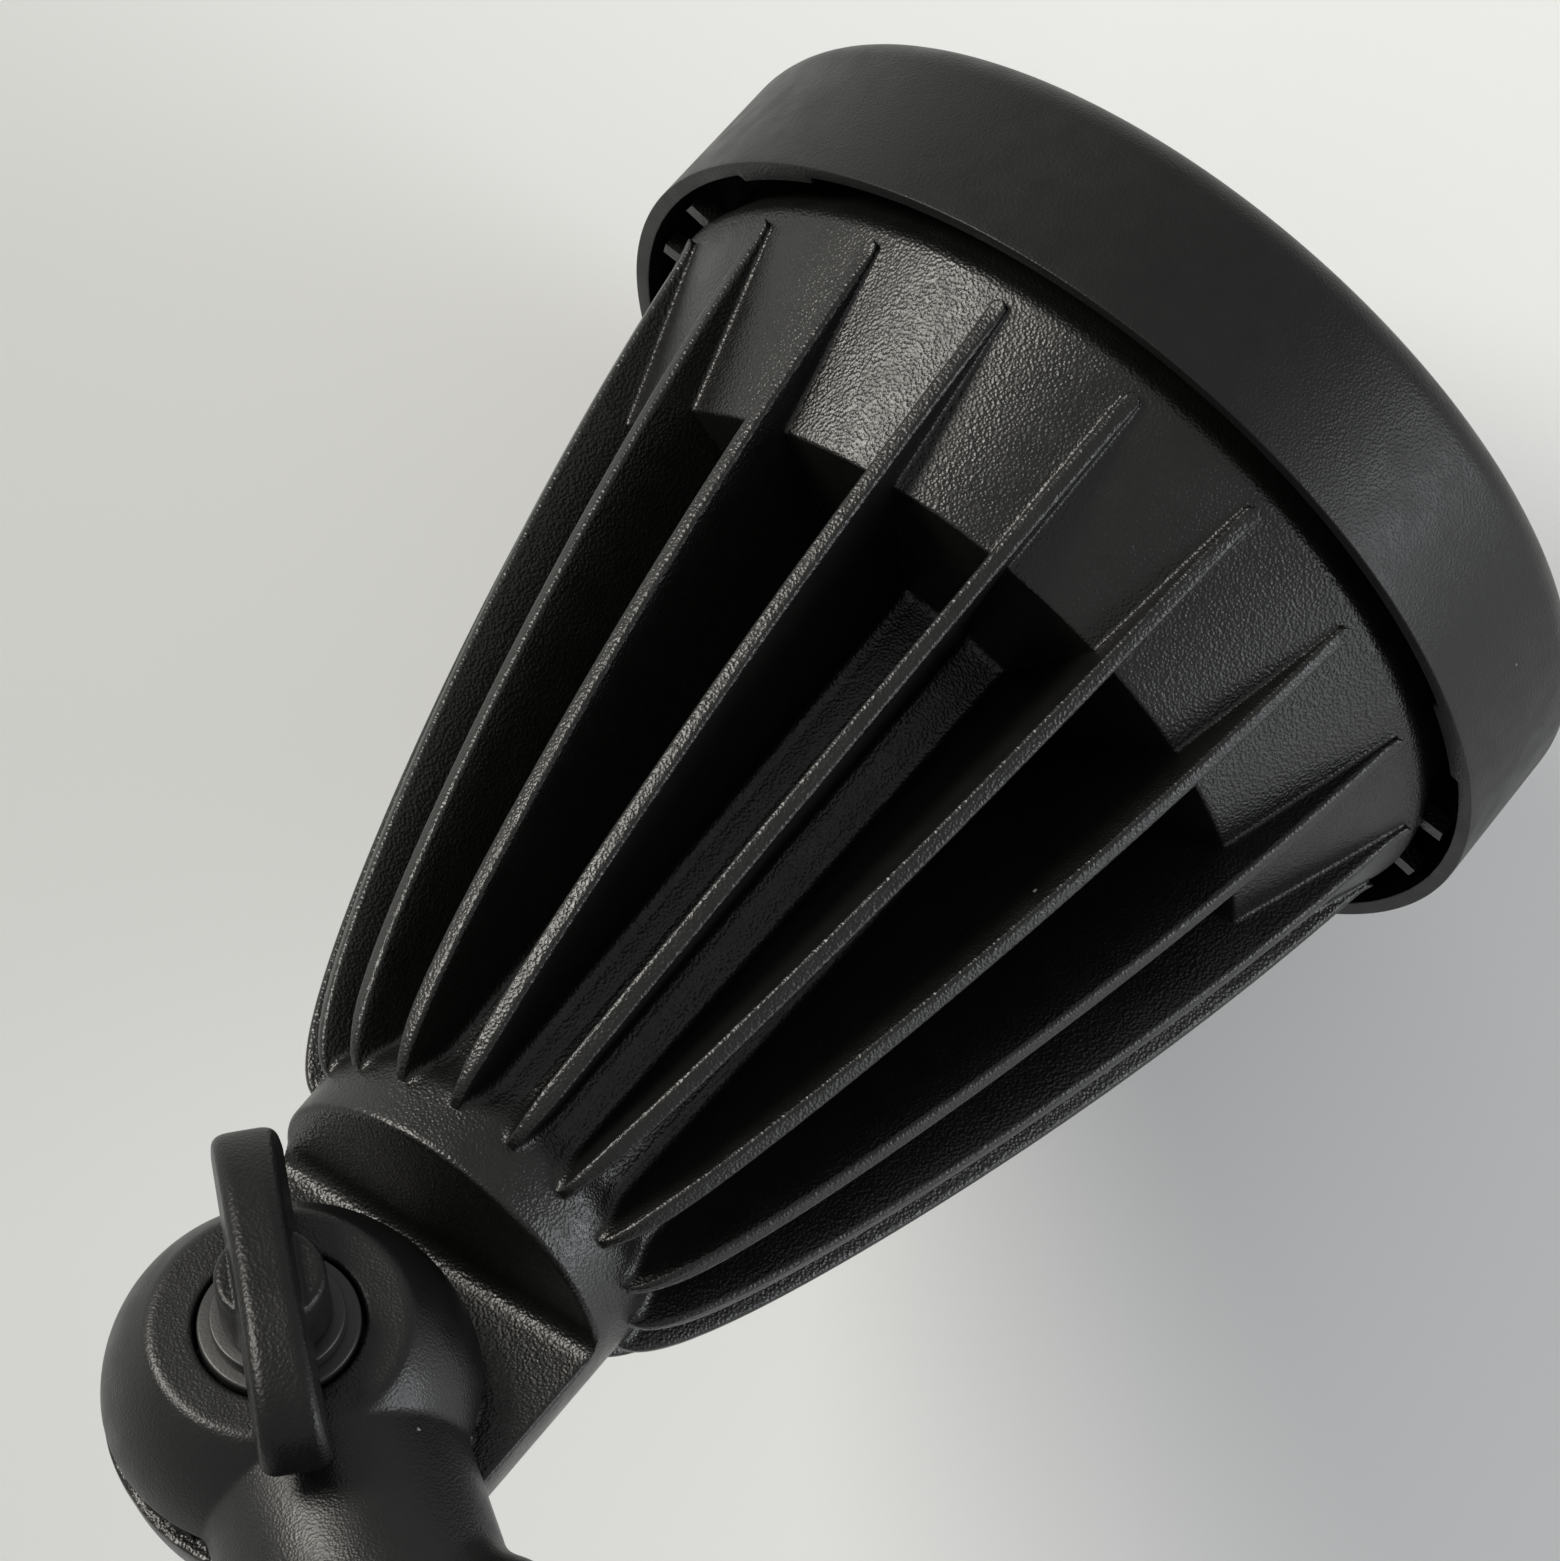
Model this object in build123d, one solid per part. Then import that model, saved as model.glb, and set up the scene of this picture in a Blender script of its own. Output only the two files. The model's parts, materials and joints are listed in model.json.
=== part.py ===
from build123d import *
import os
from math import radians, sqrt

# Garden spike spotlight, millimetres, +Z up.
# World origin: on the spike's axis at ground level, where the driving flange rests.
# Head frame: Z along the beam's axis, X along the knuckle screw, origin beside the screw's centre.
# The head looks forwards to -Y. The thumb screw is on the -X side.

# ---- pose -------------------------------------------------------------------
HEAD_TILT = 54.0            # angle between the beam and straight up, as it stands
WING_ANGLE = 8.4            # turn of the wing from the stem's direction, as it stands

# ---- knuckle ----------------------------------------------------------------
BALL_R = 18.0               # half ball of the stem, and the end of the head's half
NECK_STEP = 0.6             # round neck of the head, outside the ball's radius
HINGE_OFFSET = 1.6          # screw's centre, from the beam's axis to the head's back
STEM_OFFSET = 1.0           # screw's centre, from the stem's axis to the back
FACE_X = 13.1               # flat outer face of each half ball, from the middle plane
TAB_FACE_X = 1.0            # inner face of the head's half
KNUCKLE_GAP = 2.2           # between the two inner faces, filled by the teeth
BALL_CLEAR = 2.5            # stem's half ball to the head's shoulder that it turns under
TAB_CLEAR = 0.7             # head's half to the stem's shoulder
SHOULDER_FILLET = 1.2
TOOTH_COUNT = 30
TOOTH_TIP_GAP = 0.3         # tip to tip, with the screw slackened
TOOTH_LAND = 0.5            # flat at a tooth's tip, at the outer end
TOOTH_ROOT_GAP = 0.15       # between two teeth at their roots
TOOTH_ROOT_SINK = 0.3
TOOTH_EDGE = 0.4            # teeth end this far inside the ball
CROWN_WALL = 1.7            # teeth start this far outside the wire pocket
WIRE_POCKET_R = 9.8
WIRE_POCKET_DEPTH = 4.5
WIRE_POCKET_HUB_WALL = 2.2
WIRE_HOLE_R = 2.4
WIRE_HOLE_WALL = 1.8        # skin between a wire hole and the inner face

# ---- thumb screw ------------------------------------------------------------
STUD_R = 3.0
STUD_CLEAR = 0.3
THREAD_CLEAR = 0.05
COUNTERBORE_R = 7.9
COUNTERBORE_DEPTH = 4.0
FLAT_WASHER_CLEAR = 0.7
FLAT_WASHER_T = 1.2
SPRING_WASHER_STEP = 1.2    # spring washer inside the flat washer's radius
SPRING_WASHER_T = 1.6
SPRING_WASHER_SLOT = 1.0
WING_HUB_R = 4.9
WING_HUB_STANDS = 9.6       # hub above the flat face
WING_LIFT = 0.8             # wing above the flat face
WING_HEIGHT = 11.0
WING_LENGTH = 31.5
WING_T = 6.2
WING_END_R = 4.5            # rounding of the ends, seen from the side
WING_CORNER_R = 2.1         # rounding of the ends, seen from the top
STUD_IN_WING = 7.0
NUT_AF = 10.0
NUT_T = 5.0
NUT_CLEAR = 0.1
NUT_SINK = 0.4              # nut below the flat face
STUD_PAST_NUT = 0.2

# ---- head housing -----------------------------------------------------------
RING_R = 50.0               # widest radius of the head, at the ring's rear edge
RING_WALL = 1.35
RING_GAP = 3.35             # between the skirt and the ring
NECK_LEN = 4.75             # from the shoulder to the fins' start
BACK_LEN = 68.8             # from the fins' start to the bowl's rear face
SKIRT_LEN = 20.9            # from there to the widest place of the skirt
RIM_LEN = 3.6               # from there to the mouth
MOUTH_LEN = 9.0
SKIRT_FLARE = 7.3           # widening of the skirt from the bowl's rear face
SKIRT_BEAD_R = 2.6
SKIRT_WALL = 2.4
MOUTH_STEP = 1.5
MOUTH_WALL = 2.2
BOWL_FLOOR_T = 3.6
HUB_BAND = 1.0
CORE_DIP = 1.1              # core inside the neck's radius, behind the hub
CORE_DIP_LEN = 5.8
CORE_FLARE = 2.1            # core outside the neck's radius, at the bowl
CAVITY_WALL = 3.3
CAVITY_FLOOR = 14.8         # from the fins' start to the driver's cavity
FIXING_COUNT = 3
LUG_SIZE = 1.3
LUG_OUT = 2.2
LUG_SET_BACK = 0.6          # lugs behind the mouth's rear edge
LUG_LEN = 2.2
LUG_PAIR_ANGLE = 11.0
LUG_CENTRE_ANGLE = -72.5

FIN_COUNT = 18
FIN_TIP_T = 1.35            # thickness at the widest radius
FIN_AXIS_T = 1.9            # thickness if the fin ran on to the axis
FIN_EDGE_R = 0.4
FIN_SINK = 1.2              # how far the fins reach into the core and the skirt
FIN_BACK = (                # outer edge, as shares of its length and of its rise to the skirt
    (0.03, 0.135),
    (0.12, 0.281),
    (0.28, 0.464),
    (0.50, 0.678),
    (0.75, 0.871),
)

# ---- front ring -------------------------------------------------------------
RING_TAPER = 2.2            # front radius less than the rear radius
RING_BAND = 19.2
RING_LIP_T = 2.0
RING_LIP_COVER = 3.3        # lip over the glass
RING_EDGE_R = 0.45
RIB_T = 1.2
RIB_SET_BACK = 2.0
RIB_CLEAR = 0.5
RIB_SPREAD = 5.0
PAD_CENTRE_ANGLE = -38.0
PAD_ANGLE = 13.0
PAD_T = 0.8
PAD_LEN = 6.0
GATE_ANGLE = -47.5
GATE_WIDTH = 0.4
GATE_DEPTH = 0.9

# ---- glass and light source -------------------------------------------------
GASKET_T = 2.4
GASKET_INSET = 0.1
GASKET_COVER = 0.6          # gasket over the mouth's inner edge
GLASS_T = 3.4
GLASS_OVER = 0.1            # glass outside the mouth's radius
PLATE_INSET = 5.0
PLATE_T = 3.0
PLATE_SCREW_INSET = 6.0
SCREW_SHANK_R = 1.5
SCREW_HEAD_R = 2.75
SCREW_HEAD_T = 1.8
SCREW_DEPTH = 2.4
SCREW_FIT = 0.05
SCREW_SOCKET_AF = 2.0
SCREW_SOCKET_DEPTH = 1.0
PAD_SHEET_T = 0.4
BOARD_SIDE = 19.0
BOARD_T = 1.2
PHOSPHOR_R = 7.2
PHOSPHOR_T = 0.5
HOLDER_R = 16.5
HOLDER_TOP_T = 3.4
HOLDER_BORE_R = 8.6
HOLDER_CLEAR = 0.1
HOLDER_SCREW_PLACE = 13.4
REFLECTOR_FOOT_R = 9.6
REFLECTOR_MOUTH_GAP = 0.4
REFLECTOR_SHORT = 1.0
REFLECTOR_WALL = 1.0
REFLECTOR_BELLY = 3.4

# ---- driver -----------------------------------------------------------------
SLEEVE_WALL = 0.8
SLEEVE_CLEAR = 0.1
SLEEVE_SHORT = 7.6          # sleeve ends this far behind the carrier plate
DRIVER_NARROW = 3.2         # board narrower than the sleeve's bore
DRIVER_SHORT = 4.0
DRIVER_T = 1.6
TRANSFORMER_W = 13.0
TRANSFORMER_H = 8.5
TRANSFORMER_LEN = 15.0
TRANSFORMER_Z = 16.0
CAPACITOR_R = 4.0
CAPACITOR_LEN = 11.0
CAPACITOR_PLACES = (2.5, 33.0)

# ---- stem -------------------------------------------------------------------
STEM_R = 12.9
STEM_BORE_R = 6.0
STEM_BORE_ROOF = 3.6        # below the stem's shoulder
STEM_FOOT_LEN = 3.0         # below the side boss
SPIGOT_STEP = 2.5           # spigot inside the stem's radius
BOSS_R = 12.0
BOSS_GAP = 2.5              # below the stem's shoulder
BOSS_STANDS = 4.9           # out of the stem
BOSS_EDGE_R = 4.2
GLAND_RIM = 0.2             # flat rim between the bore and the boss's rounded edge
GLAND_NUT_T = 5.0
GLAND_NUT_SINK = 0.4
GLAND_WASHER_T = 0.8
GLAND_SEAL_STEP = 1.2
GLAND_SEAL_T = 3.6
GLAND_FIT = 0.1
CORD_HOLE_R = 4.0
GLAND_SLOT_W = 1.8
GLAND_SLOT_DEPTH = 1.6

# ---- spike ------------------------------------------------------------------
LOCK_NUT_T = 6.5
LOCK_NUT_WALL = 4.6
SEAL_T = 1.6
SEAL_WALL = 3.6
SPIGOT_FIT = 0.1
SOCKET_WALL = 5.6
SOCKET_H = 20.0
SOCKET_FLOOR_T = 3.1        # above the flange
SPIGOT_SHORT = 3.0          # spigot ends this far above the socket's floor
FLANGE_R = 27.0
FLANGE_T = 4.0
FLANGE_EDGE_R = 1.2
SPIKE_LEN = 185.0
BLADE_COUNT = 4
BLADE_TOP_R = 17.0
BLADE_TIP_R = 3.6
BLADE_T = 3.4
BLADE_POINT = 14.0
SPIKE_ROD_R = 4.6
SPIKE_ROD_TIP_R = 1.2
GUSSET_T = 3.0
GUSSET_OUT = 8.0
GUSSET_H = 13.0

# ---- worked out from the sizes above: knuckle and thumb screw ----------------
NECK_R = BALL_R + NECK_STEP
ARM_FACE_X = TAB_FACE_X - KNUCKLE_GAP
TOOTH_H = (KNUCKLE_GAP - TOOTH_TIP_GAP) / 2
TOOTH_PITCH = 360 / TOOTH_COUNT
CROWN_IN_R = WIRE_POCKET_R + CROWN_WALL
CROWN_OUT_R = sqrt(BALL_R**2 - KNUCKLE_GAP**2) - TOOTH_EDGE
WIRE_POCKET_HUB_R = STUD_R + WIRE_POCKET_HUB_WALL
HEAD_SHOULDER = BALL_R + BALL_CLEAR
STEM_SHOULDER = NECK_R + HINGE_OFFSET + TAB_CLEAR
COUNTERBORE_FLOOR = FACE_X - COUNTERBORE_DEPTH
FLAT_WASHER_R = COUNTERBORE_R - FLAT_WASHER_CLEAR
SPRING_WASHER_R = FLAT_WASHER_R - SPRING_WASHER_STEP
SPRING_WASHER_X = COUNTERBORE_FLOOR + FLAT_WASHER_T
WING_FOOT = SPRING_WASHER_X + SPRING_WASHER_T
WING_BASE = FACE_X + WING_LIFT
HUB_TOP = FACE_X + WING_HUB_STANDS
NUT_SEAT = FACE_X - NUT_SINK - NUT_T
STUD_END = NUT_SEAT + NUT_T + STUD_PAST_NUT

# ---- worked out: head, along the beam ----------------------------------------
HUB_Z = HEAD_SHOULDER + NECK_LEN
CAVITY_REAR_Z = HUB_Z + CAVITY_FLOOR
SHELF_Z = HUB_Z + BACK_LEN
FLOOR_Z = SHELF_Z + BOWL_FLOOR_T
SKIRT_Z = SHELF_Z + SKIRT_LEN
MOUTH_REAR_Z = SKIRT_Z + RIM_LEN
MOUTH_Z = MOUTH_REAR_Z + MOUTH_LEN
PLATE_TOP = FLOOR_Z + PLATE_T
BOARD_Z = PLATE_TOP + PAD_SHEET_T
BOARD_TOP = BOARD_Z + BOARD_T
HOLDER_TOP = BOARD_TOP + HOLDER_TOP_T
HOLDER_SEAT = HOLDER_TOP - SCREW_HEAD_T - HOLDER_CLEAR
GLASS_Z = MOUTH_Z + GASKET_T
LIP_Z = GLASS_Z + GLASS_T
RING_FRONT_Z = LIP_Z + RING_LIP_T
RING_REAR_Z = RING_FRONT_Z - RING_BAND
SLEEVE_LEN = FLOOR_Z - CAVITY_REAR_Z - SLEEVE_SHORT
DRIVER_LEN = SLEEVE_LEN - DRIVER_SHORT

# ---- worked out: head, across the beam ---------------------------------------
RING_FRONT_R = RING_R - RING_TAPER
SKIRT_R = RING_R - RING_WALL - RING_GAP
SHELF_R = SKIRT_R - SKIRT_FLARE
MOUTH_R = SKIRT_R - MOUTH_STEP
MOUTH_IN_R = MOUTH_R - MOUTH_WALL
GLASS_R = MOUTH_R + GLASS_OVER
RING_LIP_IN_R = GLASS_R - RING_LIP_COVER
PLATE_R = SHELF_R - PLATE_INSET
PLATE_SCREW_PLACE = PLATE_R - PLATE_SCREW_INSET
CORE_R = NECK_R - CORE_DIP
CAVITY_R = CORE_R - CAVITY_WALL
SLEEVE_R = CAVITY_R - SLEEVE_CLEAR
SLEEVE_IN_R = SLEEVE_R - SLEEVE_WALL
DRIVER_W = 2 * SLEEVE_IN_R - DRIVER_NARROW
DRIVER_Y = sqrt((SLEEVE_IN_R - SLEEVE_CLEAR) ** 2 - DRIVER_W**2 / 4)
PARTS_Y = DRIVER_Y - DRIVER_T
FIXING_PITCH = 360 / FIXING_COUNT

# ---- worked out: stem and spike ----------------------------------------------
SPIGOT_R = STEM_R - SPIGOT_STEP
BOSS_Z = -(STEM_SHOULDER + BOSS_GAP + BOSS_R)
BOSS_OUT = STEM_R + BOSS_STANDS
STEM_LEN = BOSS_R + STEM_FOOT_LEN - BOSS_Z
STEM_BORE_TOP = -(STEM_SHOULDER + STEM_BORE_ROOF)
GLAND_BORE_R = BOSS_R - BOSS_EDGE_R - GLAND_RIM
GLAND_SEAL_R = GLAND_BORE_R - GLAND_SEAL_STEP
NUT_FACE = BOSS_OUT - GLAND_NUT_SINK
WASHER_FACE = NUT_FACE - GLAND_NUT_T
SEAL_FACE = WASHER_FACE - GLAND_WASHER_T
SOCKET_R = SPIGOT_R + SOCKET_WALL
SEAL_R = SPIGOT_R + SEAL_WALL
LOCK_NUT_AF = 2 * (SPIGOT_R + LOCK_NUT_WALL)
SOCKET_TOP = FLANGE_T + SOCKET_H
SOCKET_FLOOR = FLANGE_T + SOCKET_FLOOR_T
NUT_FOOT = SOCKET_TOP + SEAL_T
STEM_FOOT = NUT_FOOT + LOCK_NUT_T
SPIGOT_LEN = STEM_FOOT - SOCKET_FLOOR - SPIGOT_SHORT
HINGE_HEIGHT = STEM_FOOT + STEM_LEN

UP = (Align.CENTER, Align.CENTER, Align.MIN)


# ---- helpers ----------------------------------------------------------------
def outline(points):
    """Closed outline in the XZ plane from (radius, height) corners."""
    return make_face(Polyline(*[(radius, 0, height) for radius, height in points], close=True))


def rod(radius, start, end):
    """Cylinder along Z between two heights."""
    return Pos(0, 0, start) * Cylinder(radius, end - start, align=UP)


def tube(outer, inner, start, end):
    """Hollow cylinder along Z."""
    return rod(outer, start, end) - rod(inner, start, end)


def hexagon(across_flats, start, end):
    """Hexagonal prism along Z."""
    face = RegularPolygon(across_flats / 2, 6, major_radius=False)
    return Pos(0, 0, start) * extrude(face, end - start)


def square(side, start, end):
    """Square plate along Z."""
    return Pos(0, 0, start) * Box(side, side, end - start, align=UP)


def to_tab(shape):
    """Lays a shape made along +Z on the knuckle screw's axis, towards the tab (+X)."""
    return Rot(0, 90, 0) * shape


def to_wing(shape):
    """Lays a shape made along +Z on the knuckle screw's axis, towards the wing (-X)."""
    return Rot(0, -90, 0) * shape


def at_angle(shape, angle):
    """Turns a shape made towards +X about the beam. Zero is towards the wing's side."""
    return Rot(0, 0, angle + 180) * shape


def beyond(face_x, side):
    """Everything on one side of a plane across the knuckle screw's axis."""
    reach = 2 * (STEM_LEN + SPIGOT_LEN)
    align = (Align.MIN if side > 0 else Align.MAX, Align.CENTER, Align.CENTER)
    return Pos(face_x, 0, 0) * Box(reach, reach, reach, align=align)


def crown(face_x, side, phase):
    """Ring of radial teeth on an inner face of the knuckle, rising towards one side."""
    ends = []
    for radius in (CROWN_IN_R, CROWN_OUT_R):
        half_root = radius * radians(TOOTH_PITCH) / 2 - TOOTH_ROOT_GAP / 2
        half_tip = TOOTH_LAND / 2 * radius / CROWN_OUT_R
        tip_x = face_x + side * TOOTH_H
        sunk_x = face_x - side * TOOTH_ROOT_SINK
        corners = [
            (sunk_x, -half_root, radius),
            (face_x, -half_root, radius),
            (tip_x, -half_tip, radius),
            (tip_x, half_tip, radius),
            (face_x, half_root, radius),
            (sunk_x, half_root, radius),
        ]
        ends.append(make_face(Polyline(*corners, close=True)))
    tooth = loft(ends)
    return [Rot(TOOTH_PITCH * number + phase, 0, 0) * tooth for number in range(TOOTH_COUNT)]


def wire_pocket():
    """Ring-shaped space round the knuckle screw for the leads, from an inner face at zero."""
    return tube(WIRE_POCKET_R, WIRE_POCKET_HUB_R, 0, WIRE_POCKET_DEPTH)


def corner_fill(face_x, shoulder, reach):
    """Rounded corner between an inner face and the shoulder above it, open towards -X and -Z."""
    size = SHOULDER_FILLET
    bar_align = (Align.MAX, Align.CENTER, Align.MAX)
    bar = Pos(face_x, 0, shoulder) * Box(size, 2 * reach, size, align=bar_align)
    hollow = Pos(face_x - size, 0, shoulder - size) * Rot(90, 0, 0) * Cylinder(size, 2 * reach)
    return (bar - hollow) & rod(reach, 0, shoulder)


def on_hinge(shape):
    """Moves a shape from the screw's centre into the head frame."""
    return Pos(0, HINGE_OFFSET, 0) * shape


def on_column(shape):
    """Moves a shape from the stem's axis to the screw's centre."""
    return Pos(0, -STEM_OFFSET, 0) * shape


def on_stem(shape):
    """Moves a shape from the screw's centre to its place, not tilted."""
    return Pos(0, STEM_OFFSET, HINGE_HEIGHT) * shape


def in_head(shape):
    """Moves a shape from the head frame to its place, tilted as it stands."""
    return on_stem(Rot(HEAD_TILT, 0, 0) * Pos(0, -HINGE_OFFSET, 0) * shape)


# ---- head housing -----------------------------------------------------------
def housing_shell():
    """Neck, core and bowl, turned. The bowl and the driver's cavity are open to the front."""
    face = outline(
        [
            (0, HEAD_SHOULDER),
            (NECK_R, HEAD_SHOULDER),
            (NECK_R, HUB_Z + HUB_BAND),
            (CORE_R, HUB_Z + CORE_DIP_LEN),
            (NECK_R + CORE_FLARE, SHELF_Z),
            (SHELF_R, SHELF_Z),
            (SKIRT_R, SKIRT_Z),
            (MOUTH_R, MOUTH_REAR_Z),
            (MOUTH_R, MOUTH_Z),
            (MOUTH_IN_R, MOUTH_Z),
            (MOUTH_IN_R, MOUTH_REAR_Z),
            (SHELF_R - SKIRT_WALL, FLOOR_Z),
            (CAVITY_R, FLOOR_Z),
            (CAVITY_R, CAVITY_REAR_Z),
            (0, CAVITY_REAR_Z),
        ]
    )
    bead = face.vertices().sort_by_distance((SKIRT_R, 0, SKIRT_Z))[0]
    return revolve(fillet(bead, SKIRT_BEAD_R), Axis.Z)


def fin_section():
    """Everything within a fin's thickness, thinner with the radius."""
    corners = [
        (0, -FIN_AXIS_T / 2),
        (SKIRT_R, -FIN_TIP_T / 2),
        (SKIRT_R, FIN_TIP_T / 2),
        (0, FIN_AXIS_T / 2),
    ]
    return extrude(make_face(Polyline(*corners, close=True)), SKIRT_Z)


def fin():
    """One fin towards +X, thicker towards its root, with its outer edge rounded."""
    nose = (NECK_R - FIN_SINK, 0, HUB_Z)
    tip = (SKIRT_R - FIN_SINK / 2, 0, SKIRT_Z - SKIRT_BEAD_R / 2)
    length = SKIRT_Z - HUB_Z
    rise = SKIRT_R - NECK_R
    places = [(NECK_R + high * rise, 0, HUB_Z + along * length) for along, high in FIN_BACK]
    back = Spline(nose, *places, tip)
    inside = Polyline(
        tip,
        (SHELF_R - FIN_SINK, 0, SHELF_Z + FIN_SINK),
        (NECK_R + CORE_FLARE - FIN_SINK, 0, SHELF_Z + FIN_SINK),
        (CORE_R - FIN_SINK, 0, HUB_Z + CORE_DIP_LEN),
        nose,
    )
    blade = extrude(make_face(back.edges() + inside.edges()), FIN_AXIS_T, both=True) & fin_section()
    curved = blade.edges().filter_by(GeomType.LINE, reverse=True)
    return fillet(curved.filter_by(lambda edge: edge.length > length / 2), FIN_EDGE_R)


def lugs():
    """Pairs of small lugs on the mouth, which keep the ring's pads in place."""
    lug_align = (Align.MIN, Align.CENTER, Align.MIN)
    lug = Box(LUG_OUT + FIN_SINK, LUG_SIZE, LUG_LEN, align=lug_align)
    lug = Pos(MOUTH_R - FIN_SINK, 0, MOUTH_REAR_Z - LUG_SET_BACK) * lug
    placed = []
    for number in range(FIXING_COUNT):
        centre = LUG_CENTRE_ANGLE + number * FIXING_PITCH
        for side in (-1, 1):
            placed.append(at_angle(lug, centre + side * LUG_PAIR_ANGLE / 2))
    return placed


def plate_screw_angles():
    """Angles of the carrier plate's screws."""
    return [(number + 1 / 2) * FIXING_PITCH for number in range(FIXING_COUNT)]


def tab():
    """The head's half of the knuckle, with its crown, nut pocket and wire pocket."""
    half = rod(NECK_R, 0, HEAD_SHOULDER) + Sphere(NECK_R) + on_hinge(Sphere(BALL_R))
    flat_r = sqrt(NECK_R**2 - FACE_X**2) + HINGE_OFFSET
    cuts = to_tab(rod(flat_r, FACE_X, NECK_R))
    cuts += to_tab(hexagon(NUT_AF + 2 * NUT_CLEAR, NUT_SEAT, NECK_R))
    cuts += to_tab(rod(STUD_R + STUD_CLEAR, 0, NECK_R))
    cuts += Pos(TAB_FACE_X, 0, 0) * to_tab(wire_pocket())
    teeth = crown(TAB_FACE_X, -1, TOOTH_PITCH / 2 - HEAD_TILT)
    return (half & beyond(TAB_FACE_X, 1)) - on_hinge(cuts) + [on_hinge(tooth) for tooth in teeth]


def head_housing():
    """The finned casting: tab, neck, core, fins, bowl and mouth."""
    blade = fin()
    fins = [Rot(0, 0, number * 360 / FIN_COUNT) * blade for number in range(FIN_COUNT)]
    body = housing_shell() + tab() + corner_fill(TAB_FACE_X, HEAD_SHOULDER, NECK_R)
    body = body + fins + lugs()
    wire_hole = rod(WIRE_HOLE_R, WIRE_POCKET_HUB_R + WIRE_HOLE_R, CAVITY_REAR_Z)
    body -= on_hinge(Pos(TAB_FACE_X + WIRE_HOLE_WALL + WIRE_HOLE_R, 0, 0) * wire_hole)
    screw_hole = Pos(PLATE_SCREW_PLACE, 0, 0) * rod(SCREW_SHANK_R + SCREW_FIT, FLOOR_Z - SCREW_DEPTH, FLOOR_Z)
    for angle in plate_screw_angles():
        body -= at_angle(screw_hole, angle)
    return body


def tab_nut():
    """Hexagonal nut held in the tab's pocket."""
    bore = rod(STUD_R + THREAD_CLEAR, NUT_SEAT, NUT_SEAT + NUT_T)
    return on_hinge(to_tab(hexagon(NUT_AF, NUT_SEAT, NUT_SEAT + NUT_T) - bore))


# ---- front ring, glass and gasket -------------------------------------------
def ring_inner_r(height):
    """Radius of the ring's inner wall at a height along the beam."""
    return RING_R - RING_WALL - RING_TAPER * (height - RING_REAR_Z) / RING_BAND


def ring_band():
    """Tapered band with its front lip and rounded outer edges."""
    band = revolve(
        outline(
            [
                (RING_R - RING_WALL, RING_REAR_Z),
                (RING_R, RING_REAR_Z),
                (RING_FRONT_R, RING_FRONT_Z),
                (RING_LIP_IN_R, RING_FRONT_Z),
                (RING_LIP_IN_R, LIP_Z),
                (ring_inner_r(LIP_Z), LIP_Z),
            ]
        ),
        Axis.Z,
    )
    rims = band.edges().filter_by(GeomType.CIRCLE).filter_by(lambda edge: edge.radius in (RING_R, RING_FRONT_R))
    return fillet(rims, RING_EDGE_R)


def ring_rib():
    """One rib towards +X, from the ring's wall to just outside the mouth."""
    rear = RING_REAR_Z + RIB_SET_BACK
    front = LIP_Z + RING_LIP_T / 2
    inner = MOUTH_R + RIB_CLEAR
    face = outline(
        [
            (inner, rear),
            (ring_inner_r(rear) + RING_WALL / 2, rear),
            (ring_inner_r(LIP_Z) + RING_WALL / 2, front),
            (inner, front),
        ]
    )
    return extrude(face, RIB_T / 2, both=True)


def ring_pad():
    """One thickened stretch of the ring's wall at its rear edge, about +X."""
    rear = RING_REAR_Z + RING_EDGE_R
    front = RING_REAR_Z + PAD_LEN
    face = outline(
        [
            (ring_inner_r(rear) - PAD_T, rear),
            (ring_inner_r(rear) + RING_WALL / 2, rear),
            (ring_inner_r(front) + RING_WALL / 2, front),
            (ring_inner_r(front) - PAD_T, front),
        ]
    )
    return Rot(0, 0, -PAD_ANGLE / 2) * revolve(face, Axis.Z, PAD_ANGLE)


def front_ring():
    """The band with pads, ribs that centre it on the mouth, and the mould's gate mark."""
    inside = []
    for number in range(FIXING_COUNT):
        centre = PAD_CENTRE_ANGLE + number * FIXING_PITCH
        inside.append(at_angle(ring_pad(), centre))
        for side in (-1, 1):
            inside.append(at_angle(ring_rib(), centre + FIXING_PITCH / 2 + side * RIB_SPREAD))
    gate = Pos(RING_R, 0, RING_REAR_Z) * Box(4 * RING_WALL, GATE_WIDTH, 2 * GATE_DEPTH)
    return ring_band() + inside - at_angle(gate, GATE_ANGLE)


def lens_gasket():
    """Flat rubber ring between the mouth and the glass."""
    return tube(MOUTH_R - GASKET_INSET, MOUTH_IN_R - GASKET_COVER, MOUTH_Z, GLASS_Z)


# ---- light source -----------------------------------------------------------
def cap_screw(seat, end):
    """Socket head screw pointing down to a height, its head seated at another."""
    shape = rod(SCREW_HEAD_R, seat, seat + SCREW_HEAD_T)
    shape -= hexagon(SCREW_SOCKET_AF, seat + SCREW_HEAD_T - SCREW_SOCKET_DEPTH, seat + SCREW_HEAD_T)
    return shape + rod(SCREW_SHANK_R, end, seat)


def plate_screws():
    """Screws that hold the carrier plate to the bowl's floor."""
    screw = Pos(PLATE_SCREW_PLACE, 0, 0) * cap_screw(PLATE_TOP, FLOOR_Z - SCREW_DEPTH)
    return [at_angle(screw, angle) for angle in plate_screw_angles()]


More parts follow.
